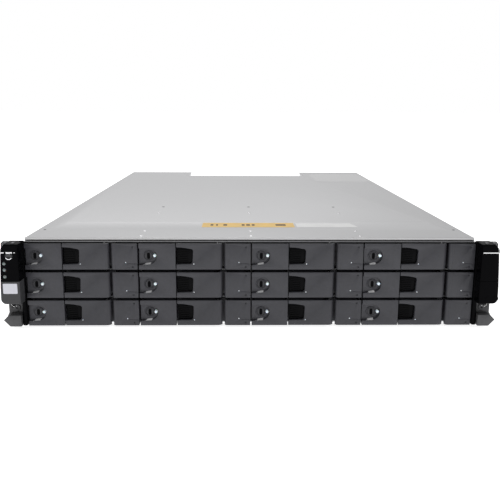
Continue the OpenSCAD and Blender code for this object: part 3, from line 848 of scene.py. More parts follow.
def cap_outline(inset=0.0):
    """Front view of a cap: widest low down, leaning in towards the top, round at its lower outer corner."""
    inner, wide = CAP_LOW.x + 0.6 + inset, CAP_HIGH.x - 3.6 - inset
    base, top = CAP_BASE + inset, CAP_HIGH.z - 1.3 - inset
    return ([(inner, base)] + arc(wide - 5, base + 5, 5 - inset * 0.5, -90, 0, 7)
            + [(wide - 0.3, 45), (wide - 2.1, 76), (wide - 3.2, top - 3.4), (wide - 5.8, top), (inner, top)])


def sliced(obj, z, keep_upper):
    """The part of a piece above or below a level, closed where it is cut."""
    select_only(obj)
    bpy.ops.object.mode_set(mode="EDIT")
    bpy.ops.mesh.select_all(action="SELECT")
    bpy.ops.mesh.bisect(plane_co=(0, 0, z * MM), plane_no=(0, 0, 1), use_fill=True,
                        clear_inner=keep_upper, clear_outer=not keep_upper)
    bpy.ops.object.mode_set(mode="OBJECT")
    return outward(obj)


def make_caps():
    """Caps with their lower lobes (satin on the left), the stops on top and the bars by the drives."""
    soft = bpy.context.scene.enclosure_shape.cap_round / MM
    front = CAP_LOW.y
    cap = prism(cap_outline(), "Y", front, CAP_BACK)
    bevel_edges(cap, lambda a, b: max(a.y, b.y) < front + 0.01, soft, 5)
    carve(cap, prism(cap_outline(1.8), "Y", front + 1.8, CAP_BACK + 1, cap_outline(1.0)))
    lobe = sliced(copy_of(cap), LOBE_TOP - 0.15, False)
    cap = sliced(cap, LOBE_TOP + 0.15, True)
    for side in SIDES:
        part = copy_of(cap, mirror=side == "left")
        if side == "left":
            middle = (BUTTON_LOW + BUTTON_HIGH) / 2
            carve(part, rod((middle.x, front - 1, middle.z), 3.25, 8, sides=40))
            for z in LAMP_ZS:
                carve(part, rod((-LAMP_X, front - 1, z), LAMP_R + 0.2, 8, sides=24))
        finish_piece(part, f"ear_cap_{side}", "gloss_black", "chassis", (f"ear_cap_{side}",))
        foot = copy_of(lobe, mirror=side == "left")
        if side == "right":
            for x, z in ((228, 33), (235, 33.4)):
                weld(foot, rod((x, front - 0.25, z), 2.6, 1, sides=28))
        look = "lobe_grey" if side == "left" else "gloss_black"
        finish_piece(foot, f"ear_lobe_{side}", look, "chassis")
    bpy.data.objects.remove(cap)
    bpy.data.objects.remove(lobe)
    stops = [block((x - 1.5, front + 2.4, CAP_HIGH.z - 5), (x + 1.5, front + 7.4, CAP_HIGH.z))
             for x in (224.6, 232.0)]
    for stop in stops:
        soften(stop, 1.0, 3)
    both_sides(grouped(*stops), "cap_stops", "dark_steel", "chassis")
    bar = prism(rounded((CAP_LOW.x, CAP_BACK - 5.7), (CAP_LOW.x + 4.3, CAP_BACK), 1.5, 4), "Z",
                FLANGE_LOW.z, CAP_HIGH.z - 1.3)
    both_sides(soften(bar, 0.4, 2, 50), "ear_bar", "bar_black", "chassis")


def make_trim():
    """Bright line across each cap, broken on the left where the button stands in its way."""
    front, wide = CAP_LOW.y, CAP_HIGH.x - 0.05
    for side, sign in SIDES.items():
        inner = 219.9 if side == "right" else 231.6
        plan = ([(inner, front - 0.2), (wide - 8.6, front - 0.2)]
                + arc(wide - 6, front + 5.5, 5.8, -80, 0, 6)
                + [(wide - 0.2, CAP_BACK - 3), (wide - 6, CAP_BACK - 3), (wide - 6, front + 3),
                   (inner, front + 3)])
        line = prism([(sign * x, y) for x, y in plan], "Z",
                     TRIM_Z - TRIM_HALF, TRIM_Z + TRIM_HALF)
        finish_piece(soften(line, 0.12, 1, 50), f"trim_line_{side}", "trim_silver", "chassis")
    marks = grouped(block((-229.8, front - 0.2, TRIM_Z - 0.7), (-223.9, front + 1, TRIM_Z + 0.7)),
                    rod((-221.9, front - 0.1, TRIM_Z), 0.6, 1, sides=16))
    finish_piece(soften(marks, 0.12, 1, 50), "trim_marks", "trim_silver", "chassis")


def make_button():
    """Push button with a dished face, in a dark rim with two bright arcs that are painted highlights of the
    rim.
    """
    middle = (BUTTON_LOW + BUTTON_HIGH) / 2
    front = BUTTON_LOW.y
    button = turned([(0, 6.5), (3.4, 6.5), (3.4, 5.8), (2.75, 5.7), (2.75, 0.3), (2.5, 0.05), (2.1, 0.15),
                     (1.4, 0.6), (0, 0.75)], (middle.x, front, middle.z), "Y", 48)
    finish_piece(button, "power_button_cap", "button_face", "power_button",
                 ("power_button",))
    rim = turned([(2.85, 0), (2.85, -0.35), (3.0, -0.45), (3.3, -0.4), (3.5, -0.1), (3.5, 0.3), (2.85, 0.3)],
                 (middle.x, CAP_LOW.y, middle.z), "Y", 48)
    finish_piece(rim, "button_rim", "button_face", "chassis")
    # bright chrome arcs only at the rim's top and bottom: painted highlights, no lamp
    arcs = []
    for first, last in ((205, 325), (60, 120)):
        outline = (arc(middle.x, middle.z, 3.35, first, last, 10)
                   + arc(middle.x, middle.z, 2.75, last, first, 10))
        arcs.append(prism(outline, "Y", CAP_LOW.y - 0.55, CAP_LOW.y + 0.2))
    finish_piece(grouped(*arcs), "button_light_arcs", "chrome", "chassis")


def make_lamps():
    """Three lamp lenses and the circuit board that carries them."""
    front = CAP_LOW.y
    board_low, board_high = corners("indicator_board")
    for number_, z in enumerate(LAMP_ZS, 1):
        lens = turned([(0, 9), (1.3, 9), (LAMP_R, 7), (LAMP_R, 0.5), (1.2, -0.25), (0.7, -0.5), (0, -0.55)],
                      (-LAMP_X, front + 0.3, z), "Y", 28)
        finish_piece(lens, f"lamp_{number_}", "lamp_lens", "chassis")
    board = block((-234.4, board_high.y - 1.4, board_low.z), (board_high.x, board_high.y, board_high.z))
    parts = [block((-232, board_high.y - 3, z), (-228, board_high.y - 1.3, z + 2.4))
             for z in (50, 55, 60, 65)]
    switch = rod((-226.5, board_high.y - 5, board_high.z - 6), 1.8, 4)
    finish_piece(weld(board, *parts, switch), "lamp_board", "circuit_board", "chassis",
                 ("indicator_board",))


def make_cap_window():
    """Blank label window on the left cap."""
    front = CAP_LOW.y
    pane = prism(rounded((-234.6, 38.7), (-221.2, 48.6), 0.8, 3), "Y", front - 0.12, front + 0.6)
    finish_piece(pane, "label_window", "window_grey", "chassis")


# ---- drive bays, drawn from a bay's lower left front corner ----

PIVOT = (76.4, 5.2)                 # handle hinge: across the bay, behind the drive front
HANDLE_LEFT = 36.8
PLATE = 2.3                         # thickness of the handle's front plate
POCKET_DEEP = 3.4
SKIN = 1.4                          # depth of the fronts' full-height face
BEAM_Y = 14.0                       # front of the beam that joins a front's two bezels
RAIL_THICK, RAIL_END = 2.2, 150
BRIM = 0.3                          # the faces stop this much short of a front's full height
FACE_TOP = FRONT_H - BRIM


def pocket_floor(x):
    """Height of a pocket's sloping floor."""
    return 4.7 + 0.09 * x


def bezel_outline(top, rise):
    """Left bezel with the lock's pocket, open at the left; the pocket's floor may rise in a low hump."""
    lower = [(BAY_EDGE if x == 0 else x, pocket_floor(x) + rise * 0.2) for x in (0, 2, 4, 6, 8, 10, 12)]
    bottom = 5.9 + rise * 0.3
    radius = (21.4 - bottom) / 2
    pocket = lower + arc(18.3 - radius, bottom + radius, radius, -80, 90, 12) + [(BAY_EDGE, 21.4)]
    return [(BAY_EDGE, BRIM), (36, BRIM), (36, top), (BAY_EDGE, top)] + pocket[::-1]


def make_scoops():
    """Scoop along the floor of each pocket, coloured near white as a painted glint on the pocket's lower
    lip.
    """
    xs = (5, 6.5, 8, 9.5, 11, 12.5, 14, 15.5, 17)
    under = [(x, pocket_floor(x) - 0.5) for x in xs]
    front = under + [(x, pocket_floor(x) + 0.05) for x in reversed(xs)]
    back = under + [(x, pocket_floor(x) + 0.1 + 0.9 * max(0.0, 1 - ((x - 11) / 6.2) ** 2))
                    for x in reversed(xs)]
    scoop = prism(front, "Y", 0.1, POCKET_DEEP - 0.05, back)
    in_every_bay(scoop, "pocket_scoop", "scoop_gloss")


def make_carrier_fronts():
    """Moulded front: left bezel with the lock's pocket, right bezel, and the beam that joins them."""
    soft = bpy.context.scene.enclosure_shape.front_round / MM
    inner_top = FRONT_H - 2.2
    end_x = corners("carrier_11")[1].x - corners("carrier_11")[0].x + BAY_EDGE
    skin = prism(bezel_outline(FACE_TOP, 0.0), "Y", 0, SKIN, bezel_outline(FACE_TOP, 1.0))
    soften(skin, soft, 2, 50)
    body = prism(bezel_outline(inner_top, 1.0), "Y", SKIN - 0.05, POCKET_DEEP, bezel_outline(inner_top, 2.4))
    back = block((BAY_EDGE, POCKET_DEEP - 0.05, 0.3), (36, 5, inner_top))
    right_x = 83.2
    right = prism(arc(right_x + 3, 3, 3, 180, 270, 8) + [(end_x, 0), (end_x, SKIN), (right_x + 1, SKIN)],
                  "Z", BRIM, FACE_TOP)
    for z in (3.2, FRONT_H - 3.2):
        carve(right, rod((104, -0.1, z), 0.85, 1.0, sides=16))
    # short groove that leads from the light to the edge
    groove = ([(97, 7.9)] + [(97 + x, 7.2 - 0.9 * math.sin(x / 8)) for x in (2, 4, 6, 8, 10, 12)]
              + [(109, 5.9)] + [(97 + x, 6.9 - 0.9 * math.sin(x / 8)) for x in (10, 8, 6, 4, 2)])
    carve(right, prism(groove, "Y", -0.05, 0.25))
    soften(right, soft, 2, 50)
    seam_line = block((right_x + 3.6, -0.12, 0.6), (right_x + 4.0, 0.3, FRONT_H - 0.6))
    right_back = block((right_x + 0.6, SKIN - 0.05, 0.3), (end_x, 5, inner_top))
    walls = [block((x, 4.8, 0.3), (x + 1.6, BEAM_Y + 0.2, inner_top))
             for x in (BAY_EDGE + 0.1, 34.3, right_x + 2, end_x - 1.7)]
    beam = block((BAY_EDGE + 0.05, BEAM_Y, 0.2), (end_x - 0.05, BEAM_Y + 2.2, inner_top))
    tabs = [prism(arc(PIVOT[0], PIVOT[1], 1.9, 180, 360, 8)
                  + [(PIVOT[0] + 1.9, BEAM_Y + 0.1), (PIVOT[0] - 1.9, BEAM_Y + 0.1)], "Z", z, z + 2.7)
            for z in (0.1, inner_top - 2.8)]
    front = grouped(skin, body, back, right, right_back, seam_line, *walls, beam, *tabs)
    in_every_bay(front, "front", "front_moulding", replaces=True)


def make_hinge_pins():
    """Steel pins of the handles."""
    pin = turned([(0, 0), (1.2, 0), (1.2, FRONT_H), (0, FRONT_H)], (PIVOT[0], PIVOT[1], 0), "Z", 16)
    in_every_bay(soften(pin, 0.2, 1, 60), "hinge_pin", "bright_steel")


def make_locks():
    """Lock collar, and rotor with a slot filled black as painted shade, in each pocket."""
    centre = (9.8, POCKET_DEEP, 13.4)
    collar = turned([(4.1, 0.05), (5.0, 0.05), (5.0, -0.7), (4.7, -1.0), (4.3, -1.0), (4.1, -0.8)],
                    centre, "Y", 36)
    in_every_bay(collar, "lock_collar", "front_moulding")
    rotor = turned([(0, 0), (4.0, 0), (4.0, -0.5), (3.7, -0.8), (0, -0.9)], centre, "Y", 36)
    carve(rotor, prism(rounded((8.3, 10.2), (11.3, 16.6), 1.4, 4), "Y", 0, POCKET_DEEP - 0.25))
    in_every_bay(soften(rotor, 0.15, 1, 50), "lock_rotor", "lock_face")
    # black fill set almost flush in the keyway: painted shade of its hollow
    slot = prism(rounded((8.35, 10.25), (11.25, 16.55), 1.35, 4), "Y", POCKET_DEEP - 0.8, POCKET_DEEP - 0.3)
    in_every_bay(slot, "lock_slot", "bar_black")


def make_lights():
    """Light guide in each pocket, and the small lights on the handle and the right bezel."""
    guide = turned([(0, 0), (1.5, 0), (1.5, -2.5), (1.2, -3.0), (0, -3.15)],
                   (15.9, POCKET_DEEP, 14.0), "Y", 24)
    in_every_bay(guide, "light_guide", "light_guide")
    for part, body, x, z in (("status_light", "handle", 53.6, 6.0), ("fault_light", "carrier", 97.3, 7.4)):
        lamp = turned([(0, 0.6), (0.5, 0.6), (0.5, -0.1), (0, -0.22)], (x, 0, z), "Y", 16)
        in_every_bay(lamp, part, "light_guide", body)


def window_outline(spread):
    """Opening in the handle for the latch: arched along the top, round corners at the right."""
    right = 52.7 + spread
    low, high = 6.2 - spread, 20.4 + spread
    radius = 2.2
    crown = [(HANDLE_LEFT - 1, 22.0 + spread), (41, 21.9 + spread), (45, 21.5 + spread),
             (48.6, 20.8 + spread)]
    return ([(HANDLE_LEFT - 1, low - 0.4)] + arc(right - radius - 0.5, low + radius, radius, -85, -8, 5)
            + arc(right - radius, high - radius, radius, 5, 78, 5) + crown[::-1])


def make_handles():
    """Lever handle: plate that wraps round its pivot, latch window, barrel and stiffening edges."""
    soft = bpy.context.scene.enclosure_shape.front_round / MM
    x, y = PIVOT
    plan = ([(HANDLE_LEFT, 0)] + arc(x, y, y, -90, -20, 10) + arc(x, y, y - PLATE, -20, -90, 10)
            + [(HANDLE_LEFT, PLATE)])
    plate = prism(plan, "Z", BRIM, FACE_TOP)
    carve(plate, prism(window_outline(0.4), "Y", -0.05, PLATE + 0.05, window_outline(0.0)))
    soften(plate, soft, 2, 40)
    barrel = rod((x, y, 3.2), 4.4, FRONT_H - 7.4, "Z")
    carve(barrel, rod((x, y, -1), 1.35, FRONT_H + 2, "Z", sides=24))
    edges = [block((HANDLE_LEFT + 1, PLATE - 0.2, z), (70, 8, z + 1.2)) for z in (0.4, FRONT_H - 3.5)]
    webs = [prism([(u, PLATE - 0.1), (u + 1, PLATE - 0.1), (u + 1, 3.2), (u, 3.2)], "Z", 1.0, 3.4)
            for u in (44, 52, 60)]
    handle = grouped(plate, barrel, *edges, *webs)
    in_every_bay(handle, "lever", "front_moulding", "handle", True)


def make_latches():
    """Finger latch: a plate behind the window with a field of curved ribs."""
    count = bpy.context.scene.enclosure_shape.ribs
    plate = block((HANDLE_LEFT + 0.6, PLATE + 0.35, 3.7), (57, PLATE + 2.3, 22.5))
    soften(plate, 0.25, 2)
    pitch = 13.6 / count
    ribs = []
    for i in range(count):
        z = 6.2 + pitch * (i + 0.2)
        lower = [(38 + 1.45 * k, z + 0.1 * k + 0.4 * math.sin(k * 0.45)) for k in range(8)]
        upper = [(a, b + pitch * 0.42) for a, b in reversed(lower)]
        ribs.append(prism(lower + upper, "Y", PLATE + 0.5, PLATE - 0.4))
    rib_field = soften(grouped(*ribs), 0.12, 1, 50)
    in_every_bay(grouped(plate, rib_field), "finger_latch", "latch_moulding", "latch", True)


def make_side_strips():
    """Black guide strips between the outer drives and the case walls."""
    high = corners("bay_shelves")[1].x
    strip = block((high - 0.8, LIP_Y - 9.5, 1.6), (high + 0.05, LIP_Y - 0.3, 84.4))
    both_sides(soften(strip, 0.15, 1), "guide_strip", "bar_black", "chassis")


def make_trays():
    """Side rails of a carrier, lightened by slots."""
    rails = []
    for x in (1.2, corners("carrier_11")[1].x - corners("carrier_11")[0].x + BAY_EDGE - 2.8):
        rail = block((x, BEAM_Y + 2, 2.5), (x + RAIL_THICK, RAIL_END, 19))
        for i in range(4):
            carve(rail, prism(rounded((30 + i * 29, 7), (50 + i * 29, 14.5), 2.5), "X", x - 1, x + 4))
        rails.append(soften(rail, 0.3, 1))
    in_every_bay(grouped(*rails), "side_rails", "zinc_sheet")


def make_disks():
    """Disk drive: cast base, machined lid with a raised round, screws, label and connector."""
    x0, x1, y0, y1 = 3.8, 105.4, 18.0, 165.0
    base = block((x0, y0, 1.6), (x1, y1, 21.6))
    for y in (45, 100, 140):
        for x in (x0 - 1, x1 - 3):
            carve(base, rod((x, y, 8), 1.6, 4, "X", sides=16))
    carve(base, block((x0 + 8, y1 - 3, 1), (x0 + 52, y1 + 1, 8)))
    in_every_bay(soften(base, 0.8, 2, 60), "disk_base", "cast_disk")
    lid = prism(rounded((x0 + 1.2, y0 + 1.2), (x1 - 1.2, y1 - 1.2), 3), "Z", 21.4, 24.4)
    soften(lid, 0.6, 2, 60)
    platter = turned([(0, 0), (46, 0), (45, 0.9), (14, 0.9), (12, 0.5), (0, 0.5)], (54.6, 75, 24.3), "Z", 48)
    screws = [turned([(0, 0), (2.6, 0), (2.3, 0.8), (0, 0.9)], (x, y, 24.3), "Z", 12)
              for x in (x0 + 6, x1 - 6) for y in (y0 + 6, 75, y1 - 6)]
    in_every_bay(grouped(lid, platter, *screws), "disk_lid", "disk_lid")
    paper = prism(rounded((28, 122), (81, 158), 1.5), "Z", 24.4, 24.55)
    in_every_bay(paper, "disk_label", "pale_label")
    board = block((x0 + 3, y0 + 30, 0.4), (x1 - 3, y1 - 2, 1.7))
    in_every_bay(board, "disk_board", "circuit_board")


# ---- rear modules ----

def supply(u, y, z):
    """Point of the right-hand power supply, from its lower inner corner."""
    return (PSU_LOW.x + u, y, PSU_LOW.z + z)


def supply_block(low, high):
    return block(supply(*low), supply(*high))


SUPPLY_W = PSU_HIGH.x - PSU_LOW.x
SUPPLY_H = PSU_HIGH.z - PSU_LOW.z
SUPPLY_SHEET = 1.2
FAN_OPENING = 36
PIN_R, PIN_BORE = 1.25, 1.35        # the levers' pins, and the bores round them
INLET_LOW, INLET_HIGH = (86, 20), (106, 49)
LEVER_Y, LEVER_Z = PSU_END_Y + 7, 7.5


def make_supply_cases():
    """Power supply: folded case, rear panel with fan opening, inlet and exhaust slots."""
    front, back = PSU_LOW.y, PSU_END_Y
    x0, x1, z0, z1 = PSU_LOW.x, PSU_HIGH.x, PSU_LOW.z, PSU_HIGH.z
    shell = prism(rounded((x0, z0), (x1, z1), 1.2, 3), "Y", front, back)
    sheet = SUPPLY_SHEET
    carve(shell, block((x0 + sheet, front + sheet, z0 + sheet), (x1 - sheet, back - 2, z1 - sheet)))
    carve(shell, rod(supply(FAN_U, back - 4, FAN_Z), FAN_OPENING, 6, sides=64))
    (u0, w0), (u1, w1) = INLET_LOW, INLET_HIGH
    carve(shell, supply_block((u0, back - 3, w0), (u1, back + 1, w1)))
    for i in range(6):
        carve(shell, supply_block((12 + i * 15, front - 1, 14), (21 + i * 15, front + 3, 70)))
        carve(shell, supply_block((87.5 + i * 3.2, back - 3, 58), (89.3 + i * 3.2, back + 1, 72)))
    soften(shell, 0.25, 1, 60)
    ears = []
    for u, sign in ((FAN_U - 37.6, -1), (FAN_U + 34.4, 1)):
        ear = prism([(back - 0.05, LEVER_Z - 4)] + arc(LEVER_Y, LEVER_Z, 4, -90, 90, 8)
                    + [(back - 0.05, LEVER_Z + 4)], "X", 0, 3.2)
        ears.append(shifted(ear, supply(u, 0, 0)))
        pin_u = FAN_U + min(sign * 31.3, sign * 34.5)
        ears.append(rod(supply(pin_u, LEVER_Y, LEVER_Z), PIN_R, 3.2, "X", sides=20))
    shell = weld(shell, *ears)
    both_sides(shell, "supply_case", "zinc_sheet", "psu_case", ("psu_case",))


def make_supply_fittings():
    """Inlet with its pins, screws and lamp of a power supply."""
    back = PSU_END_Y
    (u0, w0), (u1, w1) = INLET_LOW, INLET_HIGH
    x0, z0 = PSU_LOW.x, PSU_LOW.z
    chamfer = 5
    left, low, right, high = x0 + u0, z0 + w0, x0 + u1, z0 + w1
    outer = [(left - 1.4, low - 1.4), (right + 1.4, low - 1.4), (right + 1.4, high + 1.4),
             (left - 1.4, high + 1.4)]
    inner = [(left + 0.2, low + chamfer), (left + chamfer, low + 0.2), (right - 0.2, low + 0.2),
             (right - 0.2, high - 0.2), (left + chamfer, high - 0.2), (left + 0.2, high - chamfer)]
    body = prism(outer, "Y", back - 20, back - 2.05)
    carve(body, prism(inner, "Y", back - 17, back + 1))
    rim = prism(outer, "Y", back + 0.02, back + 1.2)
    carve(rim, prism(inner, "Y", back - 1, back + 2))
    inlet = grouped(body, soften(rim, 0.4, 2, 50))
    both_sides(inlet, "power_inlet", "socket_black", "psu_case")
    mid_u, mid_w = (u0 + u1) / 2, (w0 + w1) / 2
    blades = [soften(supply_block((u - 0.9, back - 18, w - 2.2), (u + 0.9, back - 4, w + 2.2)), 0.4, 2)
              for u, w in ((mid_u + 3, mid_w - 7), (mid_u - 3, mid_w), (mid_u + 3, mid_w + 7))]
    both_sides(grouped(*blades), "inlet_pins", "bright_steel", "psu_case")
    heads = []
    for u, w in ((4.5, 4.5), (SUPPLY_W - 4.5, 4.5), (4.5, SUPPLY_H - 4.5), (SUPPLY_W - 4.5, SUPPLY_H - 4.5)):
        head = turned([(0, 0.3), (2.9, 0.3), (2.7, -0.6), (1.6, -1.3), (0, -1.45)], (0, 0, 0), "Y", 28)
        head.data.transform(Matrix.Rotation(math.pi, 4, "Z"))
        carve(head, block((-1.6, 0.5, -0.25), (1.6, 3, 0.25)), block((-0.25, 0.5, -1.6), (0.25, 3, 1.6)))
        heads.append(shifted(head, supply(u, back, w)))
    both_sides(grouped(*heads), "supply_screws", "dark_steel", "psu_case")
    lamp = turned([(0, -1), (1.5, -1), (1.5, 0.3), (1.0, 0.8), (0, 0.9)], supply(91, back, 78.5), "Y", 24)
    both_sides(lamp, "supply_lamp", "lamp_lens", "psu_case")


def make_supply_levers():
    """Swing-out handles of the power supplies: two arms with round eyes and a grip."""
    low, high = corners("psu_lever_right")
    u0, u1, top = low.x - PSU_LOW.x, high.x - PSU_LOW.x, high.z - PSU_LOW.z
    arms = []
    for u in (u0, u1 - 4):
        side = [(LEVER_Y - 2.5, top - 1.5), (LEVER_Y - 1.5, top), (LEVER_Y + 2, top),
                (LEVER_Y + 3.2, top - 1.5), (LEVER_Y + 3.2, top - 7), (LEVER_Y + 2.5, top - 10),
                (LEVER_Y + 2.5, LEVER_Z + 3)]
        eye = arc(LEVER_Y, LEVER_Z, 3.4, 35, -215, 12)
        arm = prism(side + eye + [(LEVER_Y - 2.5, LEVER_Z + 3)], "X", 0, 4)
        arms.append(shifted(arm, supply(u, 0, 0)))
    grip_side = rounded((LEVER_Y - 2.5, top - 6.4), (LEVER_Y + 3.4, top), 2, 5)
    grip = prism([(y, z + PSU_LOW.z) for y, z in grip_side], "X",
                 PSU_LOW.x + u0 + 0.5, PSU_LOW.x + u1 - 0.5)
    for i in range(9):
        u = PSU_LOW.x + FAN_U - 20 + i * 5
        carve(grip, rod((u, LEVER_Y + 3.9, PSU_LOW.z + top - 7), 0.9, 8, "Z", sides=12))
    for arm in arms:
        soften(arm, 0.5, 2, 40)
    lever = weld(*arms, grip)
    x, y, z = supply(u0 - 1, LEVER_Y, LEVER_Z)
    carve(lever, rod((x, y, z), PIN_BORE, u1 - u0 + 2, "X", sides=24))
    both_sides(lever, "supply_lever", "release_green", "psu_lever", ("psu_lever",))


def make_fans():
    """Fan rotors with swept blades, their motor mounts and wire guards."""
    blades = bpy.context.scene.enclosure_shape.blades
    low, high = corners("fan_rotor_right")
    x, z = PSU_LOW.x + FAN_U, PSU_LOW.z + FAN_Z
    rim_r = min(high.x - x, x - low.x, high.z - z, z - low.z) - 0.2
    bore_r, root_r = 2.15, 13.4
    hub = turned([(bore_r, 0), (13.2, 0), (14, 0.8), (14, 19.6), (13, 20), (bore_r, 20)],
                 (x, low.y, z), "Y", 48)
    swept = []
    for k in range(blades):
        turn = math.tau * k / blades
        sections = []
        for step in range(7):
            # each section from root to tip is turned further, flatter and wider
            part = step / 6
            radius = root_r + (rim_r - root_r) * part
            sweep = turn + math.radians(16) * part ** 1.5
            pitch = math.radians(52 - 18 * part)
            chord = 9 + 2.2 * part
            loop = []
            for side in (1, -1):
                for t in (range(7) if side == 1 else range(6, -1, -1)):
                    along = (t / 6 - 0.5) * 2 * chord
                    camber = 1.6 * (1 - (t / 3 - 1) ** 2)
                    thick = side * 0.55 * math.sqrt(max(0.05, 1 - (t / 3 - 1) ** 2))
                    across = along * math.cos(pitch) - (camber + thick) * math.sin(pitch)
                    deep = along * math.sin(pitch) + (camber + thick) * math.cos(pitch)
                    angle = sweep + across / radius
                    loop.append((x + radius * math.cos(angle), (low.y + high.y) / 2 + deep * 0.92,
                                 z + radius * math.sin(angle)))
            sections.append(loop)
        swept.append(lofted(sections))
    rotor = grouped(hub, *swept)
    both_sides(rotor, "fan_blades", "socket_black", "fan_rotor", ("fan_rotor",))
    back = PSU_END_Y
    guard = [ring((x, back - 0.6, z), radius, 1.6, "Y") for radius in (9.5, 17.7, 26, 34.5)]
    for angle in (45, 135):
        bar = rod((-37.2, 0, 0), 0.85, 74.4, "X", sides=12)
        bar.data.transform(Matrix.Rotation(math.radians(angle), 4, "Y"))
        guard.append(shifted(bar, (x, back - 0.9, z)))
    both_sides(grouped(*guard), "finger_guard", "bright_steel", "psu_case")
    mount = [turned([(0, -4), (10, -4), (10, -1.4), (9, -1.0), (0, -1.0)], (x, back, z), "Y", 40),
             rod((x, low.y - 0.5, z), 2.0, back - 4 - low.y + 0.6, sides=24)]
    both_sides(grouped(*mount), "fan_motor", "dark_steel", "psu_case")
    frame_ring = prism(rounded((x - 38.5, z - 38.5), (x + 38.5, z + 38.5), 4), "Y", low.y - 6, back - 2.6)
    carve(frame_ring, rod((x, low.y - 8, z), 36.3, back - low.y + 10, sides=72))
    both_sides(frame_ring, "fan_frame", "socket_black", "psu_case")


IO_LOW, IO_HIGH = corners("io_module_upper")
IO_W, IO_H = IO_HIGH.x - IO_LOW.x, IO_HIGH.z - IO_LOW.z
IO_BACK = IO_HIGH.y - IO_EAR
IO_LEVER_Y, IO_LEVER_Z, IO_LEVER_HALF = IO_BACK + 9, 30.0, 33.8
SOCKETS = ((22, 18), (50, 18), (118, 14), (142, 14), (166, 14))
SOCKET_Z = (9.2, 20.2)


def in_both_modules(obj, part, material, body, replaces=()):
    """Puts a piece, drawn from a module's lower left corner, into the upper and the lower module."""
    for level in ("upper", "lower"):
        twin = copy_of(obj, (IO_LOW.x, 0, corners(f"io_module_{level}")[0].z))
        nodes = tuple(f"{node}_{level}" for node in replaces)
        finish_piece(twin, f"{part}_{level}", material, f"{body}_{level}", nodes)
    bpy.data.objects.remove(obj)


def make_io_modules():
    """I/O modules: tray with rear panel, caged sockets, lamps, vents, main board and screws."""
    front, back, middle = IO_LOW.y, IO_BACK, IO_W / 2
    bottom, top = SOCKET_Z
    shell = prism(rounded((0, 0), (IO_W, IO_H), 1.0, 3), "Y", front, back)
    carve(shell, block((1, front + 1, 1), (IO_W - 1, back - 1.2, IO_H - 1)))
    carve(shell, block((60, front - 1, 10), (150, front + 3, 28)))
    for u, wide in SOCKETS:
        carve(shell, block((u - 0.9, back - 3, bottom - 0.9), (u + wide + 0.9, back + 1, top + 0.9)))
    for i in range(14):
        for j in range(2):
            shift = 2.4 * j
            for u in (14 + i * 4.8 + shift, IO_W - 14 - i * 4.8 - shift):
                carve(shell, rod((u, back - 3, 28 + j * 4.2), 1.5, 5, sides=6))
    ears = []
    for sign in (-1, 1):
        u = middle + sign * (IO_LEVER_HALF + 0.4 + 1.6) - 1.6
        ear = prism([(back - 0.05, IO_LEVER_Z - 3.4)] + arc(IO_LEVER_Y, IO_LEVER_Z, 3.4, -90, 90, 8)
                    + [(back - 0.05, IO_LEVER_Z + 3.4)], "X", u, u + 3.2)
        pin = rod((middle + sign * 32.7 - 1.55, IO_LEVER_Y, IO_LEVER_Z), PIN_R, 3.1, "X", sides=20)
        ears += [ear, pin]
    shell = weld(shell, *ears)
    in_both_modules(soften(shell, 0.2, 1, 60), "module_case", "zinc_sheet", "io_module",
                    ("io_module",))
    cages, contacts = [], []
    for u, wide in SOCKETS:
        cage = block((u - 0.8, back - 18, bottom - 0.8), (u + wide + 0.8, back + 0.5, top + 0.8))
        carve(cage, block((u, back - 16.5, bottom), (u + wide, back + 1, top)))
        cages.append(soften(cage, 0.15, 1))
        contacts.append(block((u + 2, back - 17, 14), (u + wide - 2, back - 6, 15.4)))
        pins = 7 if wide > 15 else 5
        for k in range(pins):
            x = u + 2.6 + k * (wide - 5.2) / (pins - 1)
            contacts.append(block((x - 0.3, back - 16, 15.35), (x + 0.3, back - 6.5, 15.6)))
    in_both_modules(grouped(*cages), "sockets", "bright_steel", "io_module")
    in_both_modules(grouped(*contacts), "socket_contacts", "gold_contact", "io_module")
    board = block((8, front + 6, 5), (IO_W - 8, back - 19, 6.6))
    chips = [soften(block((u, front + 120, 6.5), (u + 40, front + 165, 9.5)), 0.4, 1) for u in (40, 110)]
    chips += [block((20 + i * 22, front + 30, 6.5), (34 + i * 22, front + 44, 8.2)) for i in range(8)]
    in_both_modules(weld(board, *chips), "module_board", "circuit_board", "io_module")
    fins = []
    for u in (40, 110):
        fins.append(block((u + 1, front + 121, 9.55), (u + 39, front + 164, 11.5)))
        fins += [block((u + 2 + i * 4, front + 122, 11.4), (u + 3.2 + i * 4, front + 163, 22))
                 for i in range(9)]
    in_both_modules(grouped(*fins), "heat_sinks", "cast_disk", "io_module")
    lamps = [turned([(0, -1.5), (1.1, -1.5), (1.1, 0.15), (0.7, 0.45), (0, 0.5)], (u, back, 25.3), "Y", 16)
             for u in (31, 59, 125, 149, 173)]
    in_both_modules(grouped(*lamps), "port_lamps", "light_guide", "io_module")
    knobs = []
    for u in (6, IO_W - 6):
        knob = turned([(0, -0.5), (1.5, -0.5), (1.5, 1.0), (3.6, 1.0), (3.8, 1.4), (3.8, 5.6),
                       (3.3, 6.2), (0, 6.2)], (u, back, 19), "Y", 24)
        knobs.append(carve(knob, block((u - 2.4, back + 5.2, 18.6), (u + 2.4, back + 7, 19.4))))
    in_both_modules(grouped(*knobs), "captive_screws", "bright_steel", "io_module")


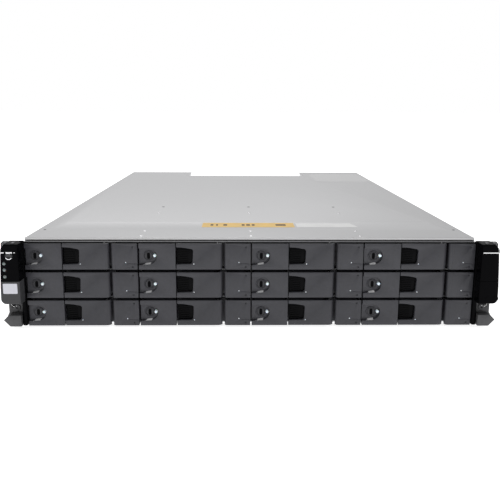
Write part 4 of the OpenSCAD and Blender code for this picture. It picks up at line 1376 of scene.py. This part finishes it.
def make_io_levers():
    """Drop-down handles of the I/O modules."""
    half, middle = IO_LEVER_HALF, IO_W / 2
    arms = []
    for u in (middle - half, middle + half - 4):
        side = arc(IO_LEVER_Y, IO_LEVER_Z, 3, -40, 220, 12) + [(IO_LEVER_Y - 2, 28), (IO_LEVER_Y - 2, 4.6),
                                                              (IO_LEVER_Y + 2.6, 4.6), (IO_LEVER_Y + 2.6, 9),
                                                              (IO_LEVER_Y + 2, 12), (IO_LEVER_Y + 2, 28)]
        arm = soften(prism(side, "X", u, u + 4), 0.5, 2, 40)
        arms.append(carve(arm, rod((u - 1, IO_LEVER_Y, IO_LEVER_Z), PIN_BORE, 6, "X", sides=24)))
    grip = prism(rounded((IO_LEVER_Y - 2, 4), (IO_LEVER_Y + 3, 9), 1.6, 5), "X",
                 middle - half + 0.5, middle + half - 0.5)
    in_both_modules(grouped(*arms, grip), "module_lever", "release_green", "io_lever",
                    ("io_lever",))


# ---- stage, in metres ----

KEY_PLACE, KEY_AIM = (-0.15, 0.55, 1.15), (0.12, -0.6, -1.1)
FLOOR_SIZE, FLOOR_Z = 60, -0.0005


def white_surround(strength):
    """World that looks white to the camera and lights the object softly."""
    world = bpy.data.worlds.new("surround")
    world.use_nodes = True
    tree = world.node_tree
    seen = tree.nodes["Background"]
    seen.inputs["Color"].default_value = (1, 1, 1, 1)
    seen.inputs["Strength"].default_value = 1.0
    lighting = tree.nodes.new("ShaderNodeBackground")
    lighting.inputs["Color"].default_value = (1, 1, 1, 1)
    lighting.inputs["Strength"].default_value = strength
    path = tree.nodes.new("ShaderNodeLightPath")
    choice = tree.nodes.new("ShaderNodeMixShader")
    tree.links.new(path.outputs["Is Camera Ray"], choice.inputs["Fac"])
    tree.links.new(lighting.outputs["Background"], choice.inputs[1])
    tree.links.new(seen.outputs["Background"], choice.inputs[2])
    tree.links.new(choice.outputs["Shader"], tree.nodes["World Output"].inputs["Surface"])
    return world


def make_stage():
    """Pale floor, white surround, soft light and the camera."""
    scene = bpy.context.scene
    settings = scene.enclosure_stage
    scene.view_settings.view_transform = "Standard"
    select_only()
    bpy.ops.mesh.primitive_plane_add(size=FLOOR_SIZE, location=(0, 0, FLOOR_Z))
    floor = bpy.context.object
    floor.name = "floor"
    paint = bpy.data.materials.new("floor_paint")
    paint.use_nodes = True
    shader = paint.node_tree.nodes["Principled BSDF"]
    shader.inputs["Base Color"].default_value = (0.9, 0.9, 0.9, 1)
    shader.inputs["Roughness"].default_value = 0.9
    shader.inputs["Specular IOR Level"].default_value = 0.0
    shader.inputs["Emission Color"].default_value = (1, 1, 1, 1)
    shader.inputs["Emission Strength"].default_value = settings.floor_glow
    floor.data.materials.append(paint)
    scene.world = white_surround(settings.sky)
    select_only()
    bpy.ops.object.light_add(type="AREA", location=KEY_PLACE)
    key = bpy.context.object
    key.name = "key_light"
    key.data.size = 1.0
    key.data.energy = settings.key
    key.rotation_euler = Vector(KEY_AIM).to_track_quat("-Z", "Y").to_euler()
    bpy.ops.object.camera_add(location=settings.place)
    camera = bpy.context.object
    camera.name = "camera"
    camera.data.lens = settings.lens
    camera.data.shift_y = settings.rise
    camera.data.sensor_width = 36
    camera.rotation_euler = (Matrix.Rotation(-settings.yaw, 3, "Z")
                             @ Matrix.Rotation(math.pi / 2 - settings.pitch, 3, "X")
                             @ Matrix.Rotation(settings.roll, 3, "Z")).to_euler()
    scene.camera = camera


# ---- operators ----

class StageOperator(bpy.types.Operator):
    """Set up the floor, the soft light and the camera"""
    bl_idname = "enclosure.stage"
    bl_label = "Stage"

    def execute(self, context):
        make_stage()
        return {"FINISHED"}


class CoverOperator(bpy.types.Operator):
    """Make the folded top cover with its rivets and blank labels"""
    bl_idname = "enclosure.cover"
    bl_label = "Top cover"

    def execute(self, context):
        make_cover()
        make_cover_rivets()
        make_labels()
        return {"FINISHED"}


class CaseOperator(bpy.types.Operator):
    """Make the case and finish the pieces inside it"""
    bl_idname = "enclosure.case"
    bl_label = "Case"

    def execute(self, context):
        make_tub()
        finish_inner_nodes()
        return {"FINISHED"}


class EarsOperator(bpy.types.Operator):
    """Make the rack ears with their glossy caps and trim"""
    bl_idname = "enclosure.ears"
    bl_label = "Rack ears"

    def execute(self, context):
        make_flanges()
        make_caps()
        make_trim()
        return {"FINISHED"}


class FrontPanelOperator(bpy.types.Operator):
    """Make the power button, the lamps and the label window of the left cap"""
    bl_idname = "enclosure.front_panel"
    bl_label = "Button and lamps"

    def execute(self, context):
        make_button()
        make_lamps()
        make_cap_window()
        return {"FINISHED"}


class CarriersOperator(bpy.types.Operator):
    """Make the drive carriers and the guide strips beside them"""
    bl_idname = "enclosure.carriers"
    bl_label = "Drive carriers"

    def execute(self, context):
        make_carrier_fronts()
        make_hinge_pins()
        make_scoops()
        make_locks()
        make_lights()
        make_trays()
        make_side_strips()
        return {"FINISHED"}


class HandlesOperator(bpy.types.Operator):
    """Make the lever handles and their finger latches"""
    bl_idname = "enclosure.handles"
    bl_label = "Handles and latches"

    def execute(self, context):
        make_handles()
        make_latches()
        return {"FINISHED"}


class DisksOperator(bpy.types.Operator):
    """Make the disk drives inside the carriers"""
    bl_idname = "enclosure.disks"
    bl_label = "Disk drives"

    def execute(self, context):
        make_disks()
        return {"FINISHED"}


class PowerSuppliesOperator(bpy.types.Operator):
    """Make the power supplies with their levers and power inlets"""
    bl_idname = "enclosure.power_supplies"
    bl_label = "Power supplies"

    def execute(self, context):
        make_supply_cases()
        make_supply_fittings()
        make_supply_levers()
        return {"FINISHED"}


class FansOperator(bpy.types.Operator):
    """Make the fan rotors, their motors and frames, and the finger guards"""
    bl_idname = "enclosure.fans"
    bl_label = "Fans"

    def execute(self, context):
        make_fans()
        return {"FINISHED"}


class ModulesOperator(bpy.types.Operator):
    """Make the two I/O modules with their sockets and levers"""
    bl_idname = "enclosure.modules"
    bl_label = "I/O modules"

    def execute(self, context):
        make_io_modules()
        make_io_levers()
        return {"FINISHED"}


OPERATORS = (StageOperator, CoverOperator, CaseOperator, EarsOperator, FrontPanelOperator, CarriersOperator,
             HandlesOperator, DisksOperator, PowerSuppliesOperator, FansOperator, ModulesOperator)


class EnclosurePanel(bpy.types.Panel):
    """Sizes, colours and the buttons that make each group of pieces"""
    bl_idname = "VIEW3D_PT_enclosure"
    bl_label = "Storage enclosure"
    bl_space_type = "VIEW_3D"
    bl_region_type = "UI"
    bl_category = "Enclosure"

    def draw(self, context):
        layout = self.layout
        for settings in (context.scene.enclosure_shape, context.scene.enclosure_colours,
                         context.scene.enclosure_stage):
            box = layout.box()
            for field in settings.bl_rna.properties.keys():
                if field not in ("rna_type", "name"):
                    box.prop(settings, field)
        for kind in OPERATORS:
            layout.operator(kind.bl_idname)


SETTINGS = {"enclosure_shape": EnclosureShape, "enclosure_colours": EnclosureColours,
            "enclosure_stage": EnclosureStage}


def register():
    for kind in (*SETTINGS.values(), *OPERATORS, EnclosurePanel):
        bpy.utils.register_class(kind)
    for name, kind in SETTINGS.items():
        setattr(bpy.types.Scene, name, bpy.props.PointerProperty(type=kind))


def unregister():
    for name in SETTINGS:
        delattr(bpy.types.Scene, name)
    for kind in reversed((*SETTINGS.values(), *OPERATORS, EnclosurePanel)):
        bpy.utils.unregister_class(kind)


def main():
    register()
    for kind in OPERATORS:
        area, action = kind.bl_idname.split(".")
        getattr(getattr(bpy.ops, area), action)()


if __name__ == "__main__":
    main()
